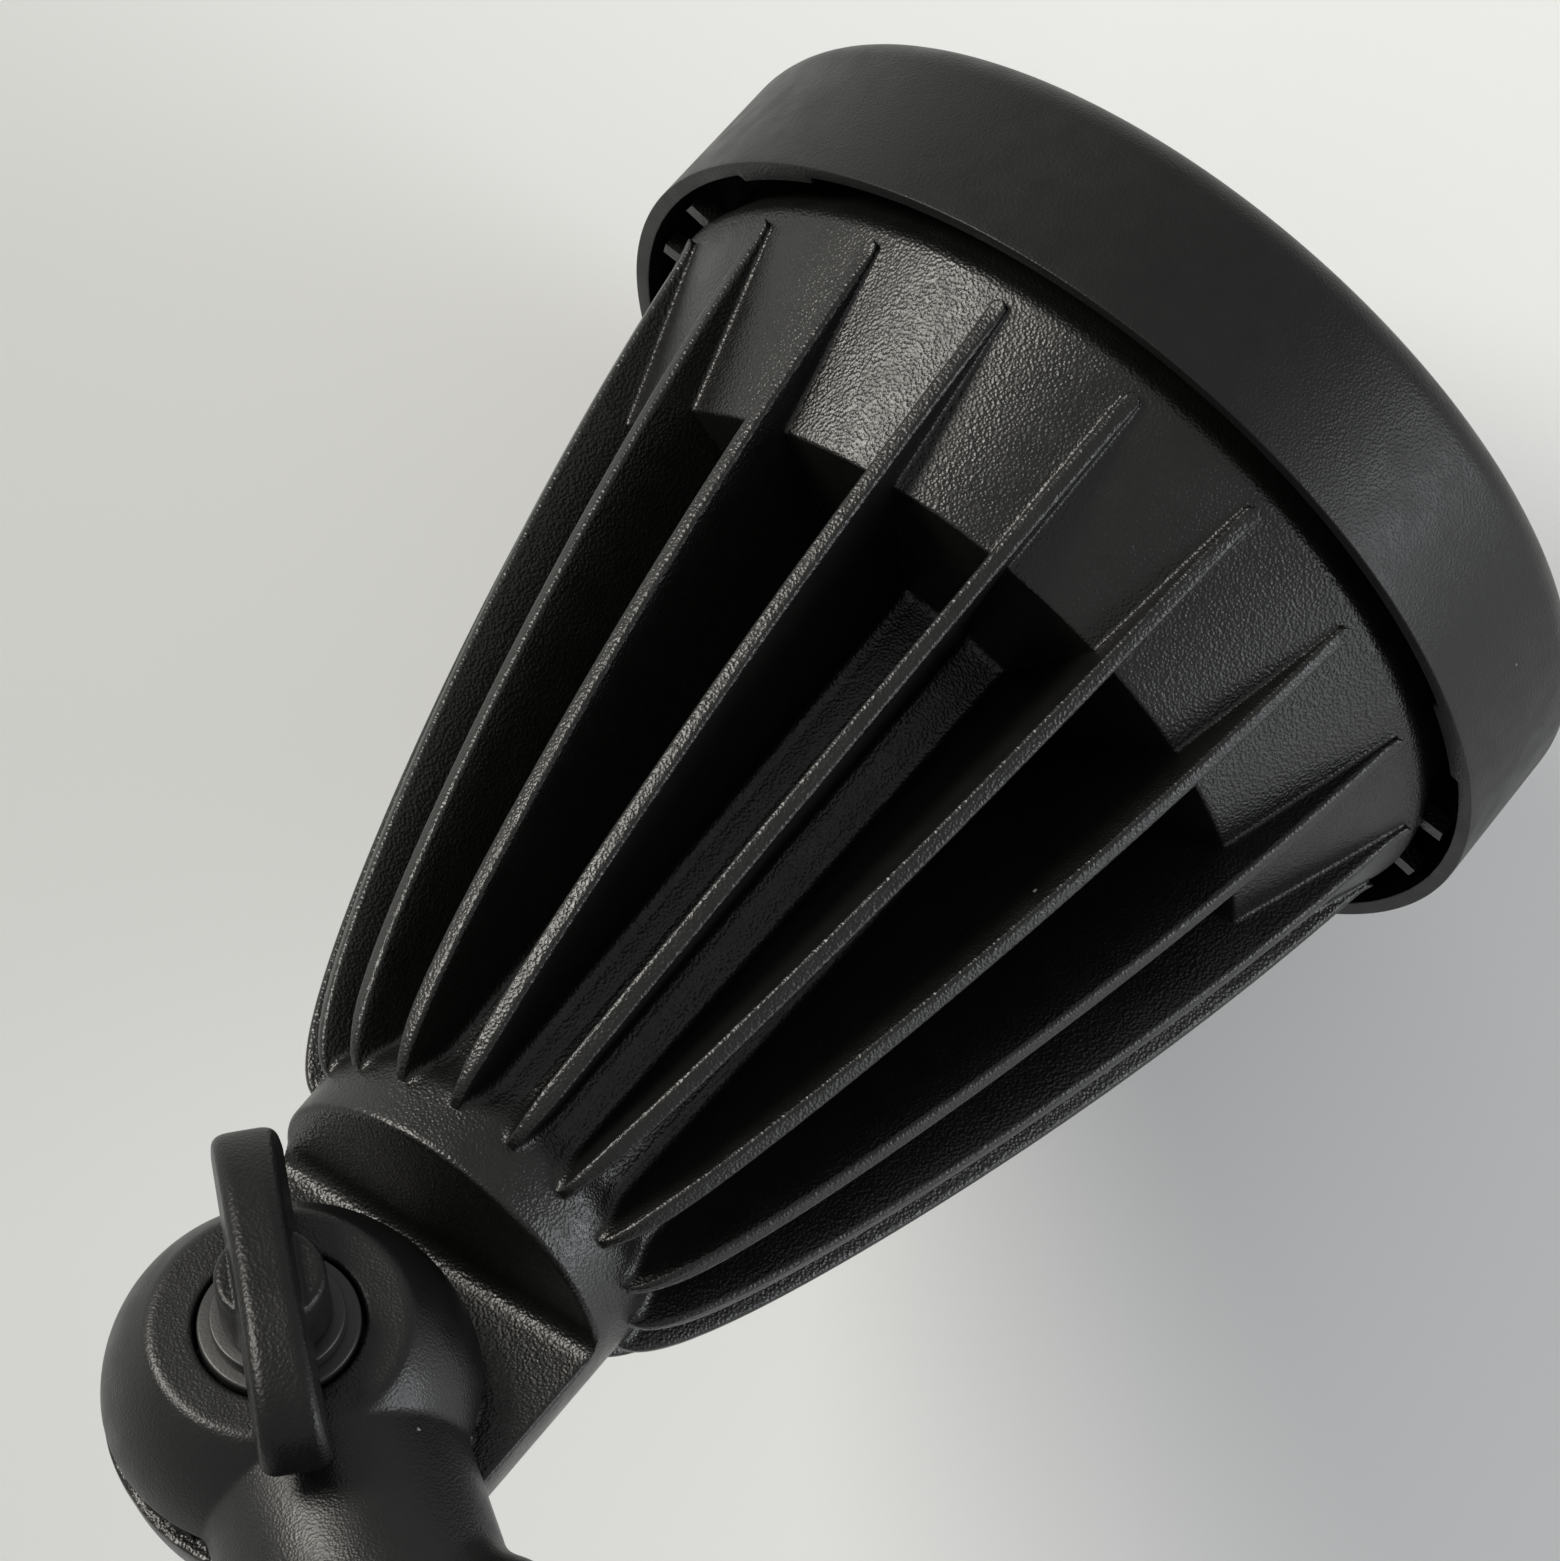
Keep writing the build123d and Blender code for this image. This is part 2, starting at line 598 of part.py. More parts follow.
def holder_screws():
    """Two screws, sunk in the board's holder, that hold it to the carrier plate."""
    screw = cap_screw(HOLDER_SEAT, PLATE_TOP - SCREW_DEPTH)
    return [Pos(side * HOLDER_SCREW_PLACE, 0, 0) * screw for side in (-1, 1)]


def carrier_plate():
    """Aluminium plate that closes the driver's cavity and carries the board."""
    plate = rod(PLATE_R, FLOOR_Z, PLATE_TOP)
    hole = rod(SCREW_SHANK_R + SCREW_FIT, FLOOR_Z, PLATE_TOP)
    for angle in plate_screw_angles():
        plate -= at_angle(Pos(PLATE_SCREW_PLACE, 0, 0) * hole, angle)
    for side in (-1, 1):
        plate -= Pos(side * HOLDER_SCREW_PLACE, 0, 0) * hole
    return plate


def board_holder():
    """Round holder that presses the board on the plate."""
    holder = tube(HOLDER_R, HOLDER_BORE_R, PLATE_TOP, HOLDER_TOP)
    holder -= square(BOARD_SIDE + 2 * HOLDER_CLEAR, PLATE_TOP, BOARD_TOP)
    hole = rod(SCREW_SHANK_R + SCREW_FIT, PLATE_TOP, HOLDER_TOP)
    hole += rod(SCREW_HEAD_R + HOLDER_CLEAR, HOLDER_SEAT, HOLDER_TOP)
    for side in (-1, 1):
        holder -= Pos(side * HOLDER_SCREW_PLACE, 0, 0) * hole
    return holder


def reflector():
    """Thin curved cone from the holder to the mouth."""
    mouth_r = MOUTH_IN_R - REFLECTOR_MOUTH_GAP - REFLECTOR_WALL
    top = MOUTH_Z - REFLECTOR_SHORT
    middle_r = (REFLECTOR_FOOT_R + mouth_r) / 2 + REFLECTOR_BELLY
    middle_z = (HOLDER_TOP + top) / 2 - REFLECTOR_BELLY
    walls = []
    for wall in (0, REFLECTOR_WALL):
        foot = (REFLECTOR_FOOT_R + wall, 0, HOLDER_TOP)
        walls.append(ThreePointArc(foot, (middle_r + wall, 0, middle_z), (mouth_r + wall, 0, top)))
    inner, outer = walls
    face = make_face([inner, Line(inner @ 1, outer @ 1), outer, Line(outer @ 0, inner @ 0)])
    return revolve(face, Axis.Z)


# ---- driver -----------------------------------------------------------------
def driver_sleeve():
    """Insulating sleeve in the cavity."""
    return tube(SLEEVE_R, SLEEVE_IN_R, CAVITY_REAR_Z, CAVITY_REAR_Z + SLEEVE_LEN)


def driver_board():
    """Circuit board standing in the sleeve along the beam."""
    board_align = (Align.CENTER, Align.MAX, Align.MIN)
    return Pos(0, DRIVER_Y, CAVITY_REAR_Z) * Box(DRIVER_W, DRIVER_T, DRIVER_LEN, align=board_align)


def driver_transformer():
    """Wound block on the board."""
    block = Box(TRANSFORMER_W, TRANSFORMER_H, TRANSFORMER_LEN, align=(Align.CENTER, Align.MAX, Align.MIN))
    return Pos(0, PARTS_Y, CAVITY_REAR_Z + TRANSFORMER_Z) * block


def driver_capacitors():
    """Two round cans lying on the board."""
    can = Rot(0, 90, 0) * Cylinder(CAPACITOR_R, CAPACITOR_LEN)
    start = CAVITY_REAR_Z + CAPACITOR_R
    return [Pos(0, PARTS_Y - CAPACITOR_R, start + place) * can for place in CAPACITOR_PLACES]


# ---- thumb screw ------------------------------------------------------------
def flat_washer():
    """Flat washer on the counterbore's floor."""
    return to_wing(tube(FLAT_WASHER_R, STUD_R + STUD_CLEAR, COUNTERBORE_FLOOR, SPRING_WASHER_X))


def spring_washer():
    """Split washer between the flat washer and the wing's hub."""
    ring = tube(SPRING_WASHER_R, STUD_R + STUD_CLEAR, SPRING_WASHER_X, WING_FOOT)
    slot_align = (Align.MIN, Align.CENTER, Align.CENTER)
    slot = Box(SPRING_WASHER_R, SPRING_WASHER_SLOT, 2 * WING_FOOT, align=slot_align)
    return to_wing(ring - Pos(0, 0, WING_FOOT) * slot)


def thumb_wing():
    """Flat wing with round ends across a round hub."""
    from_top = RectangleRounded(WING_LENGTH, WING_T, WING_CORNER_R)
    from_side = RectangleRounded(WING_LENGTH, WING_HEIGHT, WING_END_R)
    middle = WING_BASE + WING_HEIGHT / 2
    wing = Pos(0, 0, WING_BASE) * extrude(from_top, WING_HEIGHT)
    wing &= Pos(0, 0, middle) * Rot(90, 0, 0) * extrude(from_side, WING_T, both=True)
    wing += rod(WING_HUB_R, WING_FOOT, HUB_TOP)
    return to_wing(wing - rod(STUD_R, WING_FOOT, WING_FOOT + STUD_IN_WING))


def thumb_stud():
    """Threaded stud set in the wing's hub, reaching through the nut."""
    return to_tab(rod(STUD_R, -WING_FOOT - STUD_IN_WING, STUD_END))


def as_stands(shape):
    """Turns the thumb screw to the angle where it stands."""
    return on_stem(Rot(WING_ANGLE, 0, 0) * shape)


# ---- stem -------------------------------------------------------------------
def to_boss(shape):
    """Lays a shape made along +Z in the side boss, towards its face."""
    return on_column(Pos(0, 0, BOSS_Z) * Rot(90, 0, 0) * shape)


def gland_bores():
    """Stepped hole from the boss's face to the stem's bore, made along +Z from the axis."""
    nut_bore = rod(GLAND_BORE_R, SEAL_FACE, BOSS_OUT)
    seal_bore = rod(GLAND_SEAL_R, SEAL_FACE - GLAND_SEAL_T, SEAL_FACE)
    return nut_bore + seal_bore + rod(CORD_HOLE_R, 0, BOSS_OUT)


def side_boss():
    """Round boss for the cord gland, its outer edge well rounded."""
    boss = rod(BOSS_R, 0, BOSS_OUT)
    return to_boss(fillet(boss.edges().sort_by(Axis.Z)[-1], BOSS_EDGE_R))


def stem():
    """Knuckle arm: half ball, column, side boss and threaded spigot, from the screw's centre."""
    ball = (Sphere(BALL_R) - beyond(ARM_FACE_X, 1)) - beyond(-FACE_X, -1)
    shoulder_fill = Rot(0, 180, 0) * corner_fill(-ARM_FACE_X, STEM_SHOULDER, STEM_R)
    column = on_column(rod(STEM_R, -STEM_LEN, -BALL_R / 2))
    column -= beyond(ARM_FACE_X, 1) & rod(2 * STEM_LEN, -STEM_SHOULDER, 0)
    body = column + ball + on_column(shoulder_fill) + side_boss()
    body += on_column(rod(SPIGOT_R, -STEM_LEN - SPIGOT_LEN, -STEM_LEN))
    body -= on_column(rod(STEM_BORE_R, -STEM_LEN - SPIGOT_LEN, STEM_BORE_TOP))
    body -= to_boss(gland_bores())
    body -= to_wing(rod(COUNTERBORE_R, COUNTERBORE_FLOOR, FACE_X))
    body -= to_wing(rod(STUD_R + STUD_CLEAR, 0, FACE_X))
    body -= Pos(ARM_FACE_X, 0, 0) * to_wing(wire_pocket())
    wire_hole = rod(WIRE_HOLE_R, STEM_BORE_TOP, -WIRE_POCKET_HUB_R - WIRE_HOLE_R)
    body -= Pos(ARM_FACE_X - WIRE_HOLE_WALL - WIRE_HOLE_R, 0, 0) * wire_hole
    return body + crown(ARM_FACE_X, 1, 0)


# ---- cord gland -------------------------------------------------------------
def gland_nut():
    """Slotted ring nut, sunk in the side boss."""
    nut = tube(GLAND_BORE_R - GLAND_FIT, CORD_HOLE_R, WASHER_FACE, NUT_FACE)
    slot = Pos(0, 0, NUT_FACE) * Box(2 * BOSS_R, GLAND_SLOT_W, 2 * GLAND_SLOT_DEPTH)
    return to_boss(nut - slot)


def gland_washer():
    """Thin washer between the nut and the seal."""
    return to_boss(tube(GLAND_BORE_R - GLAND_FIT, CORD_HOLE_R, SEAL_FACE, WASHER_FACE))


def gland_seal():
    """Rubber bush that grips the cord."""
    return to_boss(tube(GLAND_SEAL_R - GLAND_FIT, CORD_HOLE_R, SEAL_FACE - GLAND_SEAL_T, SEAL_FACE))


# ---- spike ------------------------------------------------------------------
def lock_nut():
    """Hexagonal nut on the spigot, under the stem's foot."""
    return hexagon(LOCK_NUT_AF, NUT_FOOT, STEM_FOOT) - rod(SPIGOT_R + THREAD_CLEAR, NUT_FOOT, STEM_FOOT)


def spigot_seal():
    """Rubber ring between the lock nut and the spike's socket."""
    return tube(SEAL_R, SPIGOT_R + THREAD_CLEAR, SOCKET_TOP, NUT_FOOT)


def blade():
    """One tapered blade of the spike, towards +X."""
    face = outline(
        [
            (0, FLANGE_T / 2),
            (BLADE_TOP_R, FLANGE_T / 2),
            (BLADE_TOP_R, 0),
            (BLADE_TIP_R, BLADE_POINT - SPIKE_LEN),
            (0, -SPIKE_LEN),
        ]
    )
    return extrude(face, BLADE_T / 2, both=True)


def gusset():
    """One gusset between the flange and the socket, towards +X."""
    face = outline(
        [
            (0, FLANGE_T / 2),
            (SOCKET_R + GUSSET_OUT, FLANGE_T / 2),
            (SOCKET_R + GUSSET_OUT, FLANGE_T),
            (SOCKET_R, FLANGE_T + GUSSET_H),
            (0, FLANGE_T + GUSSET_H),
        ]
    )
    return extrude(face, GUSSET_T / 2, both=True)


def spike():
    """Ground spike: socket, driving flange with gussets, and crossed tapered blades."""
    body = fillet(rod(FLANGE_R, 0, FLANGE_T).edges().filter_by(GeomType.CIRCLE), FLANGE_EDGE_R)
    body += rod(SOCKET_R, 0, SOCKET_TOP)
    core = outline([(0, 0), (SPIKE_ROD_R, 0), (SPIKE_ROD_TIP_R, -SPIKE_LEN), (0, -SPIKE_LEN)])
    body += revolve(core, Axis.Z)
    for number in range(BLADE_COUNT):
        body += Rot(0, 0, number * 360 / BLADE_COUNT) * blade()
        body += Rot(0, 0, (number + 1 / 2) * 360 / BLADE_COUNT) * gusset()
    return body - rod(SPIGOT_R + SPIGOT_FIT, SOCKET_FLOOR, SOCKET_TOP)


# ---- every piece by name, in its place ----------------------------------------
def head_parts():
    """Single pieces that tilt with the head."""
    return {
        "head_housing": head_housing(),
        "tab_nut": tab_nut(),
        "front_ring": front_ring(),
        "lens_gasket": lens_gasket(),
        "lens_glass": rod(GLASS_R, GLASS_Z, LIP_Z),
        "carrier_plate": carrier_plate(),
        "thermal_pad": square(BOARD_SIDE, PLATE_TOP, BOARD_Z),
        "led_board": square(BOARD_SIDE, BOARD_Z, BOARD_TOP),
        "led_phosphor": rod(PHOSPHOR_R, BOARD_TOP, BOARD_TOP + PHOSPHOR_T),
        "board_holder": board_holder(),
        "reflector": reflector(),
        "driver_sleeve": driver_sleeve(),
        "driver_board": driver_board(),
        "driver_transformer": driver_transformer(),
    }


def head_groups():
    """Pieces that come in twos and threes and tilt with the head."""
    return {
        "plate_screws": plate_screws(),
        "holder_screws": holder_screws(),
        "driver_capacitors": driver_capacitors(),
    }


def parts():
    """The whole light."""
    placed = {name: in_head(shape) for name, shape in head_parts().items()}
    for name, pieces in head_groups().items():
        placed[name] = Compound(children=[in_head(piece) for piece in pieces])
    for make in (flat_washer, spring_washer, stem, gland_nut, gland_washer, gland_seal):
        placed[make.__name__] = on_stem(make())
    for make in (thumb_wing, thumb_stud):
        placed[make.__name__] = as_stands(make())
    for make in (lock_nut, spigot_seal, spike):
        placed[make.__name__] = make()
    return placed


os.makedirs("parts", exist_ok=True)
for name, shape in parts().items():
    export_step(shape, f"parts/{name}.step")
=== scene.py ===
import json
from math import cos, pi, radians, sin, sqrt

import bmesh
import bpy
import numpy as np
from mathutils import Matrix, Quaternion, Vector


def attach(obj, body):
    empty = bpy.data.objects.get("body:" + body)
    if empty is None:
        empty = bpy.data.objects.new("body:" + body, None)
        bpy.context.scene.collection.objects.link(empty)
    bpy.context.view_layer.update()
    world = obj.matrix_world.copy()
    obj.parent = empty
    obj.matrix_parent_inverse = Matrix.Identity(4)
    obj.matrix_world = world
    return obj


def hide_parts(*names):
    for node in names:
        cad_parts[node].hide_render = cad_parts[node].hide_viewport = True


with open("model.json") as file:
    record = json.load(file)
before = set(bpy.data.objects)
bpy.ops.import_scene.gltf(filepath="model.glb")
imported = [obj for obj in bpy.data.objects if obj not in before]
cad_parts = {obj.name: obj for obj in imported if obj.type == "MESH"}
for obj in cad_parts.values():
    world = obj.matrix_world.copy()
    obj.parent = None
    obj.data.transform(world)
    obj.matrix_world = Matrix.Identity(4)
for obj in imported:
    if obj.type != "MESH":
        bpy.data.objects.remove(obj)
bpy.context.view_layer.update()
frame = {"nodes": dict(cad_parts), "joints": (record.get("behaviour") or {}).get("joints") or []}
nodes = frame["nodes"]
joints = {joint["name"]: joint for joint in frame["joints"]}

# Meshes are worked out in millimetres in one of two frames and then put in place in metres:
# the head frame, with Z along the beam, and the hinge frame, with its axes along the world's.
MM = 0.001
HINGE = Vector(joints["tilt"]["pos_m"])
HEAD_TILT = radians(54.0)
HINGE_OFFSET = 1.6
STEM_OFFSET = 1.0
AT_HINGE = Matrix.Translation(HINGE) @ Matrix.Scale(MM, 4)
IN_HEAD = AT_HINGE @ Matrix.Rotation(HEAD_TILT, 4, "X") @ Matrix.Translation((0, -HINGE_OFFSET, 0))

# ---- sizes of the cast and moulded parts, millimetres -------------------------
NECK_R = 18.6
BALL_R = 18.0
FACE_X = 13.1
TAB_FACE_X = 1.0
ARM_FACE_X = -1.2
HEAD_SHOULDER = 20.5
STEM_SHOULDER = 20.9
TOOTH_COUNT = 30
TOOTH_H = 0.95
TOOTH_LAND = 0.5
TOOTH_GAP = 0.15
CROWN_IN_R = 11.5
CROWN_OUT_R = 17.46
NUT_AF = 10.2
NUT_SEAT = 7.7
STUD_HOLE_R = 3.3
CROWN_EDGE = 0.5
CUT_EDGE = 0.4
SHOULDER_EDGE = 0.7
SHOULDER_FILLET = 2.4
ARM_FILLET = 2.6
CREASE = 0.35
SEAM_SLOPE = 0.2

# how far the grids for the meshes reach, millimetres
KNUCKLE_REACH = 19.4
KNUCKLE_REACH_BACK = 20.6
NET_MARGIN = 0.6
MERGE_DISTANCE = 0.004
SLIVER_DISTANCE = 0.001

FIN_COUNT = 18
FIN_TIP_T = 1.75
FIN_AXIS_T = 2.25
FIN_EDGE_R = 0.55
FIN_END_H = 0.75
FIN_ROOT_R = 0.9
FIN_NOSE_T = 0.9
FIN_NOSE_LEN = 7.0
FIN_END_Z = 113.2
FIN_RISE = 0.5212
FIN_BULGE = 0.1106
FIN_HOLLOW = -0.3443
HUB_Z = 25.25
SHELF_Z = 94.05
SHELF_LEAN = 0.2
SHELF_R = 38.0
SKIRT_R = 45.3
SKIRT_Z = 114.95
SKIRT_BEAD_R = 2.6
CORE_REAR_R = 17.5
CORE_REAR_Z = 31.05
CORE_FRONT_R = 20.7
MOUTH_R = 43.8
MOUTH_REAR_Z = 118.55
MOUTH_Z = 127.55
MOUTH_IN_R = 41.6
BOWL_R = 35.6
FLOOR_Z = 97.65
CAVITY_R = 14.2
CAVITY_REAR_Z = 40.05
SEAM_Z = 23.0
SEAM_LAP = 1.0

RING_R = 50.0
RING_TAPER = 0.45
RING_WALL = 1.55
RING_REAR_Z = 115.9
RING_BAND = 19.7
RING_FRONT_ROUND = 4.4
RING_LIP_T = 2.0
RING_LIP_IN_R = 40.6
RING_EDGE_R = 0.15
PAD_ANGLE = 13.0
PAD_CENTRE = -38.0
PAD_T = 0.8
PAD_LEN = 6.0
RIB_IN_R = 44.3
RIB_ANGLE = 1.4
RIB_SPREAD = 5.0
GATE_ANGLE = -47.8
GATE_WIDTH = 0.4
GATE_DEPTH = 0.5
LUG_PAIR_CENTRE = -68.5
LUG_SPREAD = 6.6
LUG_OUT_R = 47.3
LUG_REAR_Z = 116.2
LUG_LEN = 1.8
LUG_HALF = 0.88

STEM_R = 13.2
STEM_FLARE = 0.2
STEM_LEN = 50.4
SPIGOT_R = 10.4
SPIGOT_LEN = 22.0
BOSS_R = 12.0
BOSS_Z = -35.4
BOSS_OUT = 17.8
BOSS_EDGE = 10.92
BOSS_FILLET = 1.6
GLAND_BORE_R = 7.6
GLAND_DEPTH = 6.2
COUNTERBORE_R = 8.1
COUNTERBORE_FLOOR = 9.1

FLAT_WASHER_R = 7.7
FLAT_WASHER_FOOT = 11.9
FLAT_WASHER_TOP = 13.5
SPRING_WASHER_R = 6.4
SPRING_WASHER_TOP = 15.0
WASHER_IN_R = 3.3

WING_LENGTH = 36.6
WING_BASE_T = 7.0
WING_TOP_T = 5.5
WING_BASE = 15.3
WING_TOP = 24.9
WING_POWER = 2.6
WING_CORNER_R = 1.9
WING_ANGLE = radians(8.0)
WING_SHIFT = 0.4
WING_BASE_EDGE = 0.9
WING_TOP_EDGE = 1.5
WING_HUB_R = 5.25
HUB_TOP = 22.2


# ---- small tools --------------------------------------------------------------
def soft_min(a, b, blend):
    """Smooth minimum: joins two solids with a fillet about as wide as the blend."""
    share = np.clip(0.5 + 0.5 * (b - a) / blend, 0, 1)
    return b * (1 - share) + a * share - blend * share * (1 - share)


def soft_max(a, b, blend):
    """Smooth maximum: cuts two solids with a rounded edge about as wide as the blend."""
    return -soft_min(-a, -b, blend)


def make_piece(name, points, faces, place, body, replaced, sharp=38.0):
    """Mesh from millimetre points in a frame, shaded smooth up to an angle, riding on a body."""
    mesh = bpy.data.meshes.new(name)
    mesh.from_pydata([place @ Vector(p) for p in points], [], faces)
    mesh.validate()
    mesh.shade_smooth()
    mesh.set_sharp_from_angle(angle=radians(sharp))
    piece = bpy.data.objects.new(name, mesh)
    bpy.context.scene.collection.objects.link(piece)
    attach(piece, body)
    if replaced:
        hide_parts(*replaced)
    return piece


def surface_net(distance, low, high, step):
    """Quads on the zero surface of a distance function of (x, y, z), sampled on a grid."""
    axes = [np.arange(a, b + step, step) for a, b in zip(low, high)]
    field = distance(*np.meshgrid(*axes, indexing="ij")).astype(np.float32)
    inside = field < 0
    sizes = [len(axis) - 1 for axis in axes]
    total = np.zeros(sizes + [3], np.float32)
    count = np.zeros(sizes, np.float32)
    corners = [(i, j, k) for i in (0, 1) for j in (0, 1) for k in (0, 1)]

    def part(array, shift):
        return array[tuple(slice(s, s + n) for s, n in zip(shift, sizes))]

    for first in corners:
        for axis in range(3):
            if first[axis] == 1:
                continue
            second = tuple(c + (1 if i == axis else 0) for i, c in enumerate(first))
            a, b = part(field, first), part(field, second)
            crossing = part(inside, first) != part(inside, second)
            share = np.where(crossing, a / np.where(crossing, a - b, 1), 0)
            for i in range(3):
                total[..., i] += crossing * (first[i] + (share if i == axis else 0))
            count += crossing
    used = count > 0
    number = np.full(sizes, -1, np.int64)
    number[used] = np.arange(used.sum())
    cell = np.argwhere(used)
    points = np.array([axes[i][0] for i in range(3)]) + step * (cell + total[used] / count[used][:, None])
    faces = []
    for axis in range(3):
        one, two = [(1, 2), (2, 0), (0, 1)][axis]
        ahead = np.roll(inside, -1, axis)
        edge = (inside != ahead)
        trim = [slice(1, -1)] * 3
        trim[axis] = slice(0, -1)
        found = np.argwhere(edge[tuple(trim)]) + [0 if i == axis else 1 for i in range(3)]
        rings = []
        for back_one, back_two in ((0, 0), (1, 0), (1, 1), (0, 1)):
            at = found.copy()
            at[:, one] -= back_one
            at[:, two] -= back_two
            rings.append(number[at[:, 0], at[:, 1], at[:, 2]])
        quads = np.stack(rings, 1)
        outward = inside[found[:, 0], found[:, 1], found[:, 2]]
        quads[~outward] = quads[~outward][:, ::-1]
        faces.append(quads)
    return settle(distance, points, step), np.concatenate(faces).tolist()


def settle(distance, points, step, rounds=3):
    """Moves points on to the zero surface along its slope."""
    reach = step * 0.2
    for _ in range(rounds):
        value = distance(*points.T)
        slope = np.zeros_like(points)
        for i in range(3):
            shift = np.zeros(3)
            shift[i] = reach
            slope[:, i] = (distance(*(points + shift).T) - distance(*(points - shift).T)) / (2 * reach)
        steep = np.maximum((slope**2).sum(1), 0.25)
        move = -(value / steep)[:, None] * slope
        length = np.linalg.norm(move, axis=1, keepdims=True)
        points = points + move * np.minimum(1, 0.5 * step / np.maximum(length, 1e-9))
    return points


def lathe_net(rows):
    """Quads through rows of points, each a closed ring, with the last row joined to the first."""
    height, around = rows.shape[:2]
    faces = []
    for i in range(height):
        here, ahead = i * around, (i + 1) % height * around
        for j in range(around):
            following = (j + 1) % around
            faces.append((here + j, here + following, ahead + following, ahead + j))
    return rows.reshape(-1, 3), faces


def rounded(before, corner, after, radius, count=6):
    """Points of an arc that rounds a corner of a (radius, height) outline."""
    a, c, b = np.array(before, float), np.array(corner, float), np.array(after, float)
    back = (a - c) / np.linalg.norm(a - c)
    ahead = (b - c) / np.linalg.norm(b - c)
    half = np.arccos(np.clip(back @ ahead, -1, 1)) / 2
    middle = back + ahead
    centre = c + middle / np.linalg.norm(middle) * radius / sin(half)
    start = c + back * radius / np.tan(half) - centre
    end = c + ahead * radius / np.tan(half) - centre
    turn = np.arccos(np.clip(start @ end / radius**2, -1, 1))
    shares = np.linspace(0, 1, count)
    points = []
    for share in shares:
        offset = (np.sin((1 - share) * turn) * start + np.sin(share * turn) * end) / sin(turn)
        points.append(tuple(centre + offset))
    return points


# ---- finned casting -----------------------------------------------------------
def fin_top(z):
    """Radius of the fins' outer edge, which rises fast from the hub and flattens to the skirt."""
    share = np.clip((z - HUB_Z) / (SKIRT_Z - HUB_Z), 0, 1)
    left = 1 - share
    return NECK_R + (SKIRT_R - NECK_R) * share**FIN_RISE * (1 + FIN_BULGE * left + FIN_HOLLOW * left**2)


def fin_half(radius, z):
    """Half thickness of a fin's outer edge: blunt nose, even draft, and an end that is round in plan."""
    even = (FIN_AXIS_T + (FIN_TIP_T - FIN_AXIS_T) * radius / SKIRT_R) / 2
    share = min(1.0, max(0.0, z - HUB_Z) / FIN_NOSE_LEN)
    even = FIN_NOSE_T / 2 + (even - FIN_NOSE_T / 2) * share * (2 - share)
    end = (z - FIN_END_Z + even) / even
    return even * sqrt(max(0.0, 1 - max(0.0, min(1.0, end)) ** 2))


def half_section(floor, z, with_fin):
    """From a fin's middle to the middle of the gap: (radial, sideways) places of one section."""
    gap = pi / FIN_COUNT
    top = fin_top(z) if with_fin else floor
    if with_fin and z > SHELF_Z:
        top = max(top, floor + FIN_END_H)
    height = top - floor
    half = fin_half(top, z) if with_fin else 0.0
    if height < 0.02 or half < 0.02:
        half, height, top = 0.0, 0.0, floor
    edge = min(FIN_EDGE_R, 0.45 * height, 0.8 * half)
    root = min(FIN_ROOT_R if z < SHELF_Z else 0.45, 0.45 * height)
    foot_half = half + (FIN_AXIS_T - FIN_TIP_T) / 2 * height / SKIRT_R
    points = [(top, 0.0), (top, (half - edge) * 0.5)]
    for step in range(6):
        angle = pi / 2 * step / 5
        points.append((top - edge + edge * cos(angle), half - edge + edge * sin(angle)))
    foot = floor + root
    for step in range(1, 5):
        share = step / 5
        side = half + (foot_half - half) * share
        points.append((top - edge + (foot - top + edge) * share, side))
    for step in range(6):
        angle = pi / 2 * step / 5
        points.append((floor + root - root * sin(angle), foot_half + root - root * cos(angle)))
    start = np.arctan2(foot_half + root, floor)
    for step in range(1, 8):
        angle = start + (gap - start) * step / 7
        points.append((floor * cos(angle), floor * sin(angle)))
    return points


def full_section(floor, z, with_fin):
    """All sectors of one section at a height, as a closed ring of points."""
    half = half_section(floor, z, with_fin)
    sector = [(x, -y) for x, y in half[:0:-1]] + half[:-1]
    flat = np.array(sector)
    ring = []
    for number in range(FIN_COUNT):
        turn = pi + 2 * pi * number / FIN_COUNT
        x = flat[:, 0] * cos(turn) - flat[:, 1] * sin(turn)
        y = flat[:, 0] * sin(turn) + flat[:, 1] * cos(turn)
        ring.append(np.stack([x, y, np.full(len(flat), z)], 1))
    return np.concatenate(ring)


